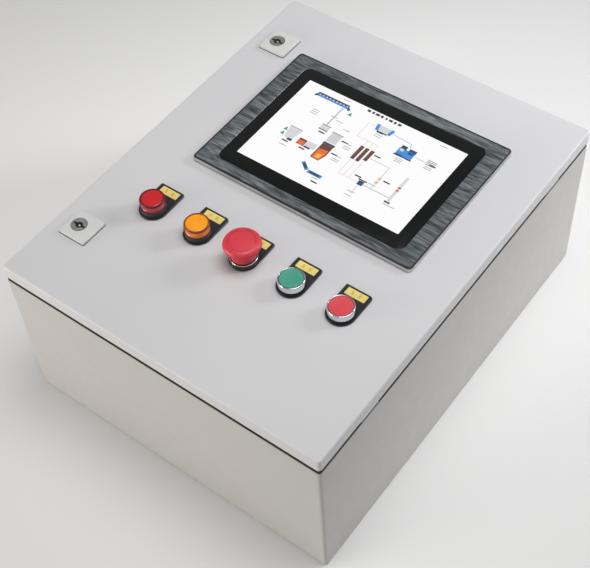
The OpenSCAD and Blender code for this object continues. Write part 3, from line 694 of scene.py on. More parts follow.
case_low, case_high = extent("body_shell")
door_low, door_high = extent("door_panel")
case_w, case_h = case_high[0] - case_low[0], case_high[1] - case_low[1]
face = door_high[2]                          # outer face of the door
sheet = 1.5                                  # thickness of the sheet steel
inner_face = face - sheet
body_top = 188.0                             # the body's front flange; its rim stands higher
rim_top = case_high[2]
rim_inset = 12.5
legend_top = extent("legend_plates")[1][2]
row_y = middle("estop_head")[1]
red_lamp, amber_lamp = middle("red_lamp_lens")[0], middle("amber_lamp_lens")[0]
stop_x, green_x, red_x = middle("estop_head")[0], middle("green_cap")[0], middle("red_cap")[0]
device_x = [red_lamp, amber_lamp, stop_x, green_x, red_x]
panel_x, panel_y = middle("hmi_bezel")[:2]
locks = {"upper_lock": middle("upper_lock_core"), "lower_lock": middle("lower_lock_core")}


GLAND_SCREWS = (78, 38)                      # half the spacing of the gland plate's screws
RAIL_ROWS = (112.5, -22.5, -135)             # y of the mounting rails
FACE_DOWN = (math.pi, 0.0, 0.0)


def disc(radius, low, high, centre, segments=48):
    return Solid().turned([(radius, low), (radius, high)], centre, segments=segments)


def gathered(solids):
    whole = Solid()
    for one in solids:
        whole.add(one.points, one.faces)
    return whole


# ---------- case and door ----------

def make_case():
    section = [(3.0, sheet), (sheet, sheet, 1.4), (sheet, body_top - sheet, 1.0),
               (rim_inset + sheet, body_top - sheet, 0.8), (rim_inset + sheet, rim_top, 0.5),
               (rim_inset, rim_top, 0.5), (rim_inset, body_top, 0.8), (0, body_top, 2.2), (0, 0, 2.2),
               (3.0, 0)]
    shell = Solid().swept(case_w, case_h, 4.0, section, hollow=False).mesh()
    holes = [disc(4.5, -1, 3, place, 40) for place in corners(175, 225)]
    entry = Matrix.Translation((0, case_high[1] - 2, middle("gland_plate")[2])) @ OUTWARD
    holes.append(Solid().plates([(140, 60, 4, -4), (140, 60, 4, 8)]).moved(entry))
    holes += [disc(2.6, -4, 8, place, 20).moved(entry) for place in corners(*GLAND_SCREWS)]
    piece("case_body", cut(shell, gathered(holes)), "body_shell")


def make_gap_shade_strip():
    """Dark strip on the front flange, under the door's edge, left open at the hinges: painted shade of the
    gap between door and case.
    """
    inset, width, thick, lift = 0.5, 9.5, 0.9, 0.02
    section = [(0, body_top + lift), (width, body_top + lift), (width, body_top + thick, 0.3),
               (0, body_top + thick, 0.3)]
    strip = Solid().swept(case_w - 2 * inset, case_h - 2 * inset, 3.5, section)
    gap, from_edge, from_leaf_end = (30, 31, 20), 16.7, 14
    gap_y = extent("fixed_hinge_leaves")[1][1] - from_leaf_end
    gaps = [Solid().block(gap, (case_w / 2 - from_edge, side * gap_y, body_top - 5)) for side in SIDES]
    detail("flange_edge_strip", cut(strip.mesh(), gathered(gaps)), "body_shell", "rubber_black",
           "gap_shade_grey")


def make_door():
    depth = face - door_low[2]
    section = [(4.0, inner_face), (sheet, inner_face, 1.6), (sheet, face - depth, 0.5),
               (0, face - depth, 0.5),
               (0, face, 2.4), (4.0, face)]
    skin = Solid().swept(case_w, case_h, 4.0, section, hollow=False).mesh()
    openings = [Solid().plates([(262, 180, 2, inner_face - 2), (262, 180, 2, face + 2)], (panel_x, panel_y))]
    openings += [disc(11.25, inner_face - 2, face + 2, (x, row_y)) for x in device_x]
    openings += [disc(10.2, inner_face - 2, face + 2, lock[:2]) for lock in locks.values()]
    piece("door_skin", cut(skin, gathered(openings)), "door_panel")

    low, high = extent("door_gasket")
    wide, tall = high[0] - low[0], high[1] - low[1]
    foam = [(0, high[2], 0.6), (10.5, high[2], 0.6), (10.5, low[2] + 1.8, 1.4), (7.4, low[2], 0.8),
            (6.2, low[2] + 1.0, 0.5), (4.3, low[2] + 1.0, 0.5), (3.1, low[2], 0.8), (0, low[2] + 1.8, 1.4)]
    piece("door_seal_foam", Solid().swept(wide, tall, 6, foam), "door_gasket")


# ---------- touch panel ----------

def make_panel():
    here = (panel_x, panel_y)
    low, high = extent("hmi_bezel")
    wide, tall, z0, z1 = high[0] - low[0], high[1] - low[1], low[2], high[2]
    glass_low, glass_high = extent("hmi_glass")
    gw, gh = glass_high[0] - glass_low[0], glass_high[1] - glass_low[1]
    edge = z1 - 1.1                          # the pale frame ends here, under the black rim

    def band(rows):
        """A closed band of (less than the bezel's size, corner, z)."""
        return Solid().plates([(wide - less, tall - less, corner, z) for less, corner, z in rows], here,
                              hollow=True, steps=10)

    frame_band = band([(0, 4.5, z0), (0, 4.5, edge), (6, 3, edge), (6, 3, z0)])
    detail("touch_panel_frame", frame_band, "hmi_bezel", "zinc_plated_steel", "pale_aluminium")
    rim = band([(0, 4.5, edge), (0, 4.5, z1 - 0.6), (0.5, 4.3, z1 - 0.2), (1.2, 4, z1), (3.6, 3.2, z1),
                (4.0, 3.1, z1 - 0.3), (4.0, 3.1, edge)])
    detail("touch_panel_black_rim", rim, "hmi_bezel", None, "black_edge")
    plate = [(wide - 4.04, tall - 4.04, 3.1, z0 + 0.3), (wide - 4.04, tall - 4.04, 3.1, z1 - 0.15),
             (wide - 4.4, tall - 4.4, 2.9, z1), (gw + 2.4, gh + 2.4, 10.2, z1),
             (gw + 1.2, gh + 1.2, 9.6, z1 - 0.25), (gw + 0.3, gh + 0.3, 9.1, z1 - 0.8),
             (gw + 0.3, gh + 0.3, 9.1, z0 + 0.3)]
    piece("touch_panel_bezel", Solid().plates(plate, here, hollow=True, steps=10), "hmi_bezel")

    seal_low, seal_high = extent("hmi_seal")
    sw, sh = seal_high[0] - seal_low[0], seal_high[1] - seal_low[1]
    seal = [(0, seal_low[2], 0.2), (0, seal_high[2], 0.2), (7.5, seal_high[2], 0.2), (7.5, seal_low[2], 0.2)]
    piece("touch_panel_seal", Solid().swept(sw, sh, 4, seal, here), "hmi_seal")

    g0, g1 = glass_low[2], glass_high[2]
    glass = [(gw - 0.6, gh - 0.6, 8.7, g0), (gw, gh, 9, g0 + 0.3), (gw, gh, 9, g1 - 0.35),
             (gw - 0.3, gh - 0.3, 8.8, g1 - 0.1), (gw - 0.9, gh - 0.9, 8.5, g1)]
    piece("touch_glass", Solid().plates(glass, here, steps=10), "hmi_glass")
    make_picture(g1)


def make_picture(z):
    """The lit picture: a plain process diagram without lettering."""
    white, faint = (1.0, 1.0, 1.0), tone(176, 178, 182)
    blue, deep_blue, dark, grey = tone(52, 138, 222), tone(28, 62, 112), tone(52, 54, 60), tone(150, 152, 156)
    pale, green, brown, orange = tone(214, 216, 220), tone(34, 160, 104), tone(96, 52, 42), tone(236, 104, 16)
    amber, pink, red, beige = tone(250, 178, 60), tone(240, 208, 208), tone(226, 62, 52), tone(224, 198, 160)
    shape, inks = Solid(), []

    def patch(outline, ink, layer=1):
        count = len(shape.faces)
        shape.prism(outline, z + 0.03 * layer - 0.005, z + 0.03 * layer + 0.02)
        inks.extend([ink] * (len(shape.faces) - count))

    def area(outline, ink, layer=1):
        patch([(mid_x + x, mid_y + y) for x, y in outline], ink, layer)

    def bar(x, y, w, h, ink, turn=0.0, layer=1):
        c, s = math.cos(math.radians(turn)), math.sin(math.radians(turn))
        square = [(w / 2, h / 2), (-w / 2, h / 2), (-w / 2, -h / 2), (w / 2, -h / 2)]
        area([(x + c * a - s * b, y + s * a + c * b) for a, b in square], ink, layer)

    def bars(*rows):
        for row in rows:
            bar(*row)

    def line(points, ink, width=0.8):
        for (x0, y0), (x1, y1) in zip(points, points[1:]):
            bar((x0 + x1) / 2, (y0 + y1) / 2, math.hypot(x1 - x0, y1 - y0) + width, width, ink,
                math.degrees(math.atan2(y1 - y0, x1 - x0)))

    mid_x, mid_y = panel_x, panel_y + 0.5
    area(rounded(208, 134, 0.6, 2), white, 0)
    # title and the small captions, as plain strips
    for k, w in enumerate((5, 3.4, 6, 4.2, 2.6, 5.4, 3.8, 4.8)):
        bar(-20.5 + 5.7 * k, 63.2, w * 0.86, 3.4, dark)
    captions = [(-50, 63), (-47, 34), (9, 38), (9, 35), (-38, 31), (47, 21), (47, 18.5), (47, 16), (79, 27),
                (79, 24.5), (-24, 24), (-10, 8), (-9, 4), (-9, 1), (-9, -13), (-9, -17.5), (-9, -20),
                (-70, -31), (-70, 32), (-70, 29), (-70, 26), (72, -41), (77, -41), (31, -46), (31, -52),
                (-11, -52), (77, 62), (44, -26)]
    for x, y in captions:
        bar(x, y, 9, 1.1, faint)
    for x, y in ((8, 41.5), (82, 31), (43, 25.5), (26, 10.5), (-15, 8.5), (-14, -12.5), (-45, 7),
                 (-49, -24.5), (-71, -25), (-9, -57), (55, -15), (25, -24)):
        bar(x, y, 8, 1.9, dark)
    # conveyor, with its hopper line
    bars((-63, 53.2, 44, 3.2, blue), (-63, 56.2, 42, 3.2, dark))
    for k in range(9):
        bar(-81 + 4.6 * k, 54.8, 2.2, 1.6, pale, 0, 2)
    bars((-42, 53, 7, 3.4, deep_blue, -38), (-84, 52.6, 5, 3.0, deep_blue, 38))
    line([(-47, 50), (-47, 20)], faint, 1.6)
    # valves
    for x, y in ((-35, 47), (-81, -9), (-80.5, -16)):
        area([(x - 2.6, y - 2.4), (x + 2.8, y - 2.4), (x + 0.2, y + 3)], green)
    # bin, vessel and furnace
    bars((-46, 14, 11, 8, pale), (-46, 11, 11.6, 1.8, dark), (-46, 18.4, 11.6, 1.4, grey),
         (-28, 6.5, 13, 14.5, pale), (-28, 14.2, 14.4, 1.8, grey))
    for k in range(4):
        bar(-32.4 + 3 * k, 6.5, 0.5, 14, faint, 0, 2)
    bar(-27.5, -3.4, 14.8, 3.0, dark)
    area([(-20.5, -5), (-34.5, -5), (-34.5, -29), (-23.5, -29.5), (-20.5, -20)], brown)
    area([(-22, -12), (-33, -14), (-33.2, -28), (-24, -28.4), (-22, -20)], orange, 2)
    area([(-24, -19), (-30, -21), (-30.6, -27), (-25, -27.2)], amber, 3)
    # feed hopper, burner and blower
    area([(-63, -3), (-79, -3), (-76, -20), (-66, -22)], pale)
    bars((-71, -2.6, 16.5, 1.0, grey, 0, 2), (-68, -21, 6, 3.4, dark, 0, 2),
         (-54.5, -16.5, 9.6, 9.6, brown), (-54.5, -17.8, 7.6, 6.6, orange, 0, 2),
         (-43, -15.5, 12.6, 9, pale), (-45, -20.6, 8, 2.4, dark, 0, 2))
    # ash conveyor
    bars((-30.5, -43, 13, 4.4, blue, -38), (-30.5, -43, 8, 2.8, dark, -38, 2), (-15, -47.5, 18, 4.6, blue),
         (-15, -47.5, 13, 2.8, dark, 0, 2))
    # drum and its pipe
    bars((10, 47.5, 16, 9, pale), (1.4, 47.5, 3.8, 9.6, blue, 12, 2), (18.6, 47.5, 3.8, 9.6, blue, -12, 2),
         (10, 42.4, 13, 1.8, dark))
    line([(0, 47.5), (-10, 47.5), (-10, 24.5), (17.5, 24.5), (17.5, 15)], pink)
    line([(4.5, 24.5), (4.5, 15)], pink)
    line([(11, 24.5), (11, 15)], pink)
    for x, low in ((4.5, -7), (11, -7), (17.8, -2)):
        bar(x, (15 + low) / 2, 4.6, 15 - low, brown)
        for k in range(4):
            bar(x, 12 - 4.6 * k, 4.6, 0.5, tone(150, 96, 78), 0, 2)
        line([(x, low), (x, -31.5)], pink)
    line([(4.5, -31.5), (28, -31.5)], pink)
    # compressor set and its consumer
    bars((48, 30.5, 20, 11, blue), (42.5, 37.6, 7, 5.6, dark), (53.6, 36.6, 9, 6, deep_blue),
         (42, 33.4, 4.4, 3.6, pale, 0, 2), (53, 33, 6, 2.6, dark, 0, 2), (48, 24.6, 22, 1.8, dark))
    line([(22, 47.5), (46, 46), (48, 41)], blue, 0.6)
    line([(60, 32), (72, 32)], blue, 0.6)
    for k in range(4):
        bar(79, 36.6 - 2.2 * k, 11, 1.2, grey)
    # probe, fan and chimney
    line([(22, 4), (46, 4), (46, -12)], faint, 0.7)
    bars((46, -15, 3.2, 5, beige), (46, -21, 3.8, 4.4, beige), (32.6, -31, 6.6, 6.4, deep_blue),
         (32.6, -26.6, 11, 1.8, dark))
    line([(36, -31.5), (68, -31.5)], faint, 1.0)
    line([(46, -24), (46, -31)], faint, 0.7)
    bars((70.5, -17, 3.4, 40, pale), (70.5, -14, 3.6, 2.6, red, 0, 2), (70.5, -18.4, 3.6, 2.2, red, 0, 2),
         (70.5, -37.6, 7, 2.4, dark), (32.4, -42, 0.7, 14, faint))

    data = bpy.data.meshes.new("picture")
    data.from_pydata([metres(*p) for p in shape.points], [], shape.faces)
    layer = data.color_attributes.new("ink", "FLOAT_COLOR", "CORNER")
    for polygon, ink in zip(data.polygons, inks):
        for corner in polygon.loop_indices:
            layer.data[corner].color = (*ink, 1)
    outward = bmesh.new()
    outward.from_mesh(data)
    bmesh.ops.recalc_face_normals(outward, faces=outward.faces)
    outward.to_mesh(data)
    outward.free()
    detail("lit_process_picture", data, "hmi_display")


# ---------- behind the touch panel ----------

def make_panel_back():
    low, high = extent("hmi_rear_housing")
    w, h, z0, z1 = high[0] - low[0], high[1] - low[1], low[2], high[2]
    here = (panel_x, panel_y)
    tray = Solid().plates([(w - 8, h - 8, 3, z0 + 2.5), (w - 5, h - 5, 1.5, z0 + 4), (w - 5, h - 5, 1.5, z1),
                           (w, h, 3, z1), (w, h, 3, z0 + 2.2), (w - 1.2, h - 1.2, 2.8, z0 + 0.7),
                           (w - 4, h - 4, 2.5, z0)], here).mesh()
    slot = Solid().plates([(3, 22, 1.45, -4), (3, 22, 1.45, 6)], steps=3)
    vented = perforation.make(finishes["housing_black"], Sheet=tray, Opening=slot, Columns=21, Rows=2,
                              Column_Pitch=8 * MM, Row_Pitch=108 * MM,
                              Start=metres(panel_x - 80, panel_y - 54, z0))
    piece("panel_rear_housing", vented, "hmi_rear_housing")
    rating = Solid().block((92, 46, 0.5), (panel_x + 34, panel_y + 2, z0 - 0.45), 0.15)
    detail("panel_rating_plate", rating, "hmi_rear_housing", "device_light_grey", "label_white")
    marks = Solid()
    for k, wide in enumerate((54, 70, 62, 38, 66)):
        place = (panel_x + 34 - (78 - wide) / 2, panel_y + 17 - 7.5 * k, z0 - 0.65)
        marks.block((wide, 2.2, 0.25), place, 0.08)
    detail("panel_rating_marks", marks, "hmi_rear_housing", "device_dark_grey", "dark_ink")
    bosses = [(panel_x + x, panel_y + y, z0 - 0.2) for x, y in corners(122, 82)]
    detail("panel_housing_screws", at_places(screw(2.6), bosses, FACE_DOWN), "hmi_rear_housing",
           "zinc_plated_steel")
    copied("panel_clamp_blocks", "hmi_clamps", 0.6)
    copied("panel_connectors", "hmi_connectors", 0.5)
    c_low = extent("hmi_connectors")[0]
    pins = Solid().block((3.0, 0.8, 6), (0, 0, 0), 0.25)
    # the connector openings are near-black blocks: painted shade
    detail("connector_openings", in_rows(pins, (c_low[0] + 4, c_low[1] - 0.2, z0 + 7.5), 5, 5.6),
           "hmi_connectors", "housing_black", "painted_shade_black")
    # clamp screws: a threaded rod, and a head below the clamp
    rods, heads = Solid(), []
    s_low, s_high = extent("hmi_clamp_screws")
    for side in SIDES:
        for x in (-90, 0, 90):
            centre = (panel_x + x, panel_y + side * (h / 2 + 7))
            rods.turned(thread(2.0, s_low[2] + 2, s_high[2], 0.8), centre, segments=20)
            heads.append((centre[0], centre[1], s_low[2] + 2.2))
    piece("panel_clamp_screws", joined(rods, at_places(screw(3.6), heads, FACE_DOWN)), "hmi_clamp_screws")


def thread(radius, low, high, pitch):
    """Section of a threaded rod."""
    count = int((high - low) / pitch)
    section = [(radius - 0.35, low)]
    for k in range(count):
        z = low + pitch * k
        section += [(radius - 0.3, z + 0.1 * pitch), (radius, z + 0.5 * pitch),
                    (radius - 0.3, z + 0.9 * pitch)]
    return section + [(radius - 0.35, high)]


def screw(radius):
    """A low screw head with a single slot, on z = 0."""
    profile = [(radius, 0), (radius, 0.35 * radius, 0.15 * radius), (radius * 0.55, 0.62 * radius)]
    head = Solid().turned(profile, segments=16, steps=2)
    slot = Solid().block((radius * 1.25, radius * 0.26, radius), (0, 0, radius * 0.36), 0.02)
    return cut(head.mesh(), slot)


# ---------- 22 mm devices ----------

def make_legends():
    low, high = extent("legend_plates")
    z0, z1 = low[2], high[2]
    top = high[1] - row_y
    i_low, i_high = extent("legend_inserts")
    label_y = (i_low[1] + i_high[1]) / 2
    label_w, label_h = i_high[0] - i_low[0] - (device_x[-1] - device_x[0]), i_high[1] - i_low[1]
    outline = [polar(16, a) for a in range(180, 361, 6)]
    outline += eased([(16, 0), (16, top, 4.2), (-16, top, 1.2), (-16, 0)])[1:-1]
    bodies, cutters = Solid(), []
    for x in device_x:
        bodies.prism(outline, z0, z1, 0.6, (x, row_y))
        cutters.append(disc(11.3, z0 - 1, z1 + 1, (x, row_y)))
        window = [(label_w + 0.3, label_h + 0.3, 0.6, z1 - 1.1), (label_w + 0.3, label_h + 0.3, 0.6, z1 + 1)]
        cutters.append(Solid().plates(window, (x, label_y), steps=3))
    piece("legend_plates_bevelled", cut(bodies.mesh(), gathered(cutters)), "legend_plates")
    inserts, marks = Solid(), Solid()
    card = [(label_w, label_h, 0.5, i_low[2]), (label_w, label_h, 0.5, i_high[2] - 0.15),
            (label_w - 0.4, label_h - 0.4, 0.4, i_high[2])]
    for x in device_x:
        inserts.plates(card, (x, label_y), steps=3)
        for side in SIDES:
            for k in (-1, 0, 1):
                marks.block((3.0, 0.5, 0.08), (x + side * 4.2, label_y + 1.7 * k, i_high[2] - 0.02), 0.02)
            marks.block((0.5, 4.0, 0.08), (x + side * 4.2, label_y, i_high[2] - 0.015), 0.02)
    piece("legend_insert_cards", inserts, "legend_inserts")
    detail("legend_marks", marks, "legend_inserts", None, "ink")


def make_lamps():
    base_low, base_high = extent("lamp_bases")
    lens_low, lens_high = extent("red_lamp_lens")
    z0, z1 = lens_low[2], lens_high[2]
    section = [(8.6, base_low[2]), (11, base_low[2], 0.4), (11, legend_top), (14.4, legend_top, 0.3),
               (14.4, legend_top + 2.4, 0.4), (14.0, legend_top + 2.7), (14.0, legend_top + 3.2),
               (14.4, legend_top + 3.5, 0.3), (14.4, base_high[2], 0.5), (8.6, base_high[2])]
    bases = gathered(Solid().turned(section, (x, row_y), hollow=True) for x in (red_lamp, amber_lamp))
    piece("lamp_housings", bases, "lamp_bases")
    for name, node, x, disc_finish, rim_shade_finish in (
            ("red_lamp", "red_lamp_lens", red_lamp, "bright_red", "red_rim_painted_shade"),
            ("amber_lamp", "amber_lamp_lens", amber_lamp, "bright_amber", "amber_rim_painted_shade")):
        lens = [(11.4, z0), (13.2, z0), (13.2, z0 + 1.2, 0.3), (12.9, z0 + 1.6), (12.9, z0 + 2.1),
                (13.2, z0 + 2.5, 0.3), (13.2, z1 - 2.6), (11.4, z1 - 2.6)]
        piece(name + "_lens", Solid().turned(lens, (x, row_y), hollow=True), node)
        # each rim takes a darker copy of the lens colour as painted shade
        rim = [(11.75, z1 - 2.6), (13.3, z1 - 2.6), (13.6, z1 - 2.2, 0.3), (13.6, z1 - 0.8, 0.7),
               (12.8, z1, 0.4),
               (12.0, z1, 0.2), (11.75, z1 - 0.7)]
        detail(name + "_rim", Solid().turned(rim, (x, row_y), hollow=True), node, None, rim_shade_finish)
        top = [(11.7, z1 - 2.6), (11.7, z1 - 0.8), (11.3, z1 - 0.4, 0.4), (8, z1 - 0.3), (3, z1 - 0.25)]
        detail(name + "_disc", Solid().turned(top, (x, row_y)), node, None, disc_finish)
    copied("lamp_modules_eased", "lamp_modules", 0.6)


def make_stop():
    low, high = extent("estop_collar")
    z0, z1 = low[2], high[2]
    collar = (high[0] - low[0]) / 2
    r_low, r_high = extent("estop_trim_ring")
    trim = (r_high[0] - r_low[0]) / 2
    pocket = trim - 0.9                      # radius of the collar's bore above the legend plate
    section = [(6.6, z0), (11, z0, 0.4), (11, legend_top), (collar, legend_top, 0.3), (collar, z1, 0.6),
               (pocket, z1), (pocket, legend_top + 0.8), (6.6, legend_top + 0.8)]
    piece("stop_collar", Solid().turned(section, (stop_x, row_y), hollow=True), "estop_collar")
    ring = [(pocket, r_low[2]), (trim, r_low[2], 0.3), (trim, r_high[2], 0.6), (pocket, r_high[2], 0.3)]
    piece("stop_trim_ring", Solid().turned(ring, (stop_x, row_y), hollow=True), "estop_trim_ring")
    copied("stop_stem", "estop_stem", 0.3)

    low, high = extent("estop_head")
    z, radius, skirt = low[2], (high[0] - low[0]) / 2, pocket - 0.5
    outer = [(skirt, 0, 0.4), (skirt, 4.4, 1.2), (14.3, 7.4, 1.6), (15.6, 10.8, 2.0), (17.0, 13.4, 0.8),
             (radius - 1.2, 14.4, 1.0), (radius, 16.4, 0.9), (radius, 18.4, 1.6), (radius - 1.9, 21.2, 1.6),
             (radius - 6.5, 22.45, 3), (4.0, 22.8)]
    inner = [(4.05, 13.8), (4.05, 3.2), (6.6, 3.2), (6.6, 0)]
    head = Solid().turned([(a, z + b, *c) for a, b, *c in inner + outer], (stop_x, row_y), segments=96)
    piece("stop_mushroom_head", head, "estop_head")
    # release arrows: low raised ribs in a darker red, painted shade of engraved grooves
    arrows, ground, edge = Solid(), z + 21.6, 0.05
    arc_r = 0.70 * radius
    for start in (30, 150, 270):
        arc = [polar(arc_r + 0.28, start + a) for a in range(0, 81, 5)]
        arc += [polar(arc_r - 0.28, start + a) for a in range(80, -1, -5)]
        tip = [polar(arc_r, start - 8), polar(arc_r + 1.1, start + 1), polar(arc_r - 1.1, start + 1)]
        arrows.prism(arc, ground, z + 22.36, edge, (stop_x, row_y))
        arrows.prism(tip, ground, z + 22.38, edge, (stop_x, row_y))
    detail("stop_release_arrows", arrows, "estop_head", None, "arrow_red")


def make_buttons():
    low, high = extent("button_bezels")
    z0, z1 = low[2], high[2]
    seal_low, seal_high = extent("bezel_seals")
    section = [(9, z0), (11, z0, 0.4), (11, seal_high[2]), (13.9, seal_high[2], 0.2),
               (14.3, seal_high[2] + 1.2, 0.5), (14.3, z1 - 1.2, 0.6), (13.7, z1, 0.5), (12.9, z1, 0.3),
               (12.5, z1 - 0.7, 0.3),
               (12.5, seal_high[2] + 0.8), (9, seal_high[2] + 0.8)]
    bezels = gathered(Solid().turned(section, (x, row_y), hollow=True, segments=80) for x in (green_x, red_x))
    piece("button_bezels_turned", bezels, "button_bezels")
    lip = [(11.1, seal_low[2]), (14.8, seal_low[2], 0.5), (14.8, seal_high[2], 0.7), (11.1, seal_high[2])]
    seals = gathered(Solid().turned(lip, (x, row_y), hollow=True) for x in (green_x, red_x))
    piece("button_seals", seals, "bezel_seals")
    for name, node, x in (("green_button_cap", "green_cap", green_x), ("red_button_cap", "red_cap", red_x)):
        c_low, c_high = extent(node)
        top = c_high[2]
        cap = [(5, 214.5), (5, c_low[2]), (8.6, c_low[2], 0.4), (8.6, top - 3.6), (12.15, top - 3.6, 0.4),
               (12.15, top - 0.5, 0.5), (11.5, top, 0.4), (10.6, top - 0.1, 0.5), (8.5, top - 0.35, 1),
               (4, top - 0.45)]
        piece(name, Solid().turned(cap, (x, row_y), segments=80), node)


def make_springs():
    wire, travel, clear = 0.35, 4.0, 0.02
    for device, key, x in (("stop", "estop", stop_x), ("green", "green", green_x), ("red", "red", red_x)):
        node = key + "_spring"
        low, high = extent(node)
        mesh = coil.make(finishes["spring_steel"], Turns=7.0, Radius=3.8 * MM, Wire=wire * MM,
                         Height=(high[2] - low[2] - 2 * wire - 2 * clear) * MM,
                         Place=metres(x, row_y, low[2] + wire + clear))
        spring = piece(device + "_return_spring", mesh, node)
        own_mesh(spring)


def make_device_backs():
    copied("device_ring_nuts", "device_nuts", 0.5)
    copied("contact_block_bodies", "contact_blocks", 0.7)
    bottom = extent("contact_blocks")[0][2]
    wells, heads, actuators = Solid(), [], Solid()
    for x in device_x[2:]:
        for dx, dy in corners(6.5, 14.5):
            wells.block((7.6, 8.6, 1.1), (x + dx, row_y + dy, bottom - 0.9), 0.4)
            heads.append((x + dx, row_y + dy, bottom - 0.8))
        actuators.block((15, 10, 1.4), (x, row_y, bottom - 1.2), 0.5)
    lamp_bottom = extent("lamp_modules")[0][2]
    for x in device_x[:2]:
        for sy in SIDES:
            wells.block((12, 8.6, 1.1), (x, row_y + sy * 12.5, lamp_bottom - 0.9), 0.4)
            heads += [(x + sx * 3, row_y + sy * 12.5, lamp_bottom - 0.8) for sx in SIDES]
    # the terminal wells are near-black: painted shade
    detail("terminal_wells", wells, "contact_blocks", "device_dark_grey", "painted_shade_black")
    detail("terminal_screw_heads", at_places(screw(2.3), heads, FACE_DOWN, seed=11), "contact_blocks",
           "zinc_plated_steel")
    detail("contact_actuators", actuators, "contact_blocks", "connector_green", "actuator_blue")


# ---------- locks ----------

def make_locks():
    low, high = extent("lock_housings")
    top = high[2]
    shift = middle("lock_housings")[0] - locks["upper_lock"][0]
    bore_r = 8.35
    bodies, bores, barrels, shadow_pads, gap_shade_rings = Solid(), [], Solid(), Solid(), Solid()
    for lock in locks.values():
        x, y = lock[:2]
        plate = [(33.9, 33.9, 1.2, face), (34.5, 34.5, 1.5, face + 0.3), (34.5, 34.5, 1.5, top - 1.1),
                 (34.1, 34.1, 1.4, top - 0.5), (33.3, 33.3, 1.3, top - 0.12), (32.3, 32.3, 1.0, top)]
        bodies.plates(plate, (x + shift, y))
        # a thin black pad under each plate: painted shadow where the plate meets the door
        shadow_pad = [(35.4, 35.4, 1.8, face + 0.02), (35.4, 35.4, 1.8, face + 0.5), (35.0, 35.0, 1.7, face + 0.6)]
        shadow_pads.plates(shadow_pad, (x + shift, y), steps=4)
        # a dark ring round each core: painted shade of the gap between core and plate
        rim = [(8.4, top - 0.6), (8.95, top - 0.6), (8.95, top + 0.02), (8.4, top + 0.02)]
        gap_shade_rings.turned(rim, (x, y), hollow=True)
        bores.append(disc(bore_r, face - 1, top + 1, (x, y), 64))
        barrel = [(bore_r, low[2]), (10, low[2], 0.5), (10, face + 0.5), (bore_r, face + 0.5)]
        barrels.turned(barrel, (x, y), hollow=True)
    piece("lock_plates", joined(cut(bodies.mesh(), gathered(bores)), barrels), "lock_housings")
    shadow_pads = cut(shadow_pads.mesh(), gathered([disc(9, face - 1, face + 2, lock[:2], 48) for lock in locks.values()]))
    detail("lock_plate_gaskets", shadow_pads, "lock_housings", "rubber_black")
    detail("lock_rim_rings", gap_shade_rings, "lock_housings", None, "gap_shade_steel")
    copied("lock_ring_nuts", "lock_nuts", 0.4)
    for name, lock in locks.items():
        x, y = lock[:2]
        core_low, core_high = extent(name + "_core")
        crown = core_high[2]
        socket = crown - 5
        drum = [(8.3, 186.2, 0.3), (8.3, 186.2), (8.3, crown - 0.5), (7.9, crown)]
        stock = joined(Solid().turned(drum, (x, y)),
                       Solid().block((8, 8, 4.6), (x, y, 181.9), 0.3),
                       Solid().prism(hexagon(5.77), core_low[2], core_low[2] + 4, 0.4, (x, y)))
        stock = cut(stock, disc(4.1, socket, crown + 1, (x, y), 40))
        wings = Solid().plates([(15.2, 2.6, 0.8, socket), (15.2, 2.6, 0.8, crown + 1)], (x, y), steps=3)
        piece(name + "_barrel_core", cut(stock, wings), name + "_core")
        # a near-black fill in the socket's lower part, up to its floor: painted shade of the keyhole
        floor = crown - 1.4
        ring_section = [(1.3, socket), (4.0, socket), (4.0, floor), (1.3, floor)]
        socket_shade_fill = joined(Solid().turned(ring_section, (x, y), hollow=True),
                        *[Solid().block((3.5, 2.4, floor - socket), (x + dx, y, socket), 0.1)
                          for dx in (5.75, -5.75)])
        detail(name + "_socket_lining", socket_shade_fill, name + "_core", None, "painted_shade_black")
        pin = [(1.25, socket - 0.2), (1.25, crown - 0.7, 0.3), (0.6, crown - 0.4)]
        detail(name + "_centre_pin", Solid().turned(pin, (x, y), segments=24), name + "_core", None,
               "pale_aluminium")
        copied(name + "_cam_plate", name + "_cam")


# ---------- inside the case ----------

def make_ducts():
    low, high = extent("wiring_ducts")
    z = low[2]
    runs = [(260, 0, y, 0.0) for y in (180, 45, -90, -180)]
    runs += [(390, sx * 148, 0, math.pi / 2) for sx in SIDES]
    parts = [duct.make(finishes["duct_grey"], Length=length * MM, Width=30 * MM, Height=(high[2] - z) * MM,
                       Wall=1.6 * MM, Solid_Height=9 * MM, Finger=8.2 * MM, Pitch=12.5 * MM,
                       Place=metres(x, y, z),
                       Turn=turn) for length, x, y, turn in runs]
    piece("slotted_ducts", joined(*parts), "wiring_ducts")
    top = extent("duct_covers")[1][2]
    section = eased([(-16.3, top - 6), (-16.3, top, 1.6), (16.3, top, 1.6), (16.3, top - 6), (15.0, top - 6),
                     (15.0, top - 1.3, 0.8), (-15.0, top - 1.3, 0.8), (-15.0, top - 6)], True)
    covers = Solid()
    for length, x, y, turn in runs:
        ends = [[(sx * length / 2, a, b) for a, b in section] for sx in SIDES]
        one = Solid().loft(ends).moved(Matrix.Translation((x, y, 0)) @ Matrix.Rotation(turn, 4, "Z"))
        covers.add(one.points, one.faces)
    piece("duct_lids", covers, "duct_covers")


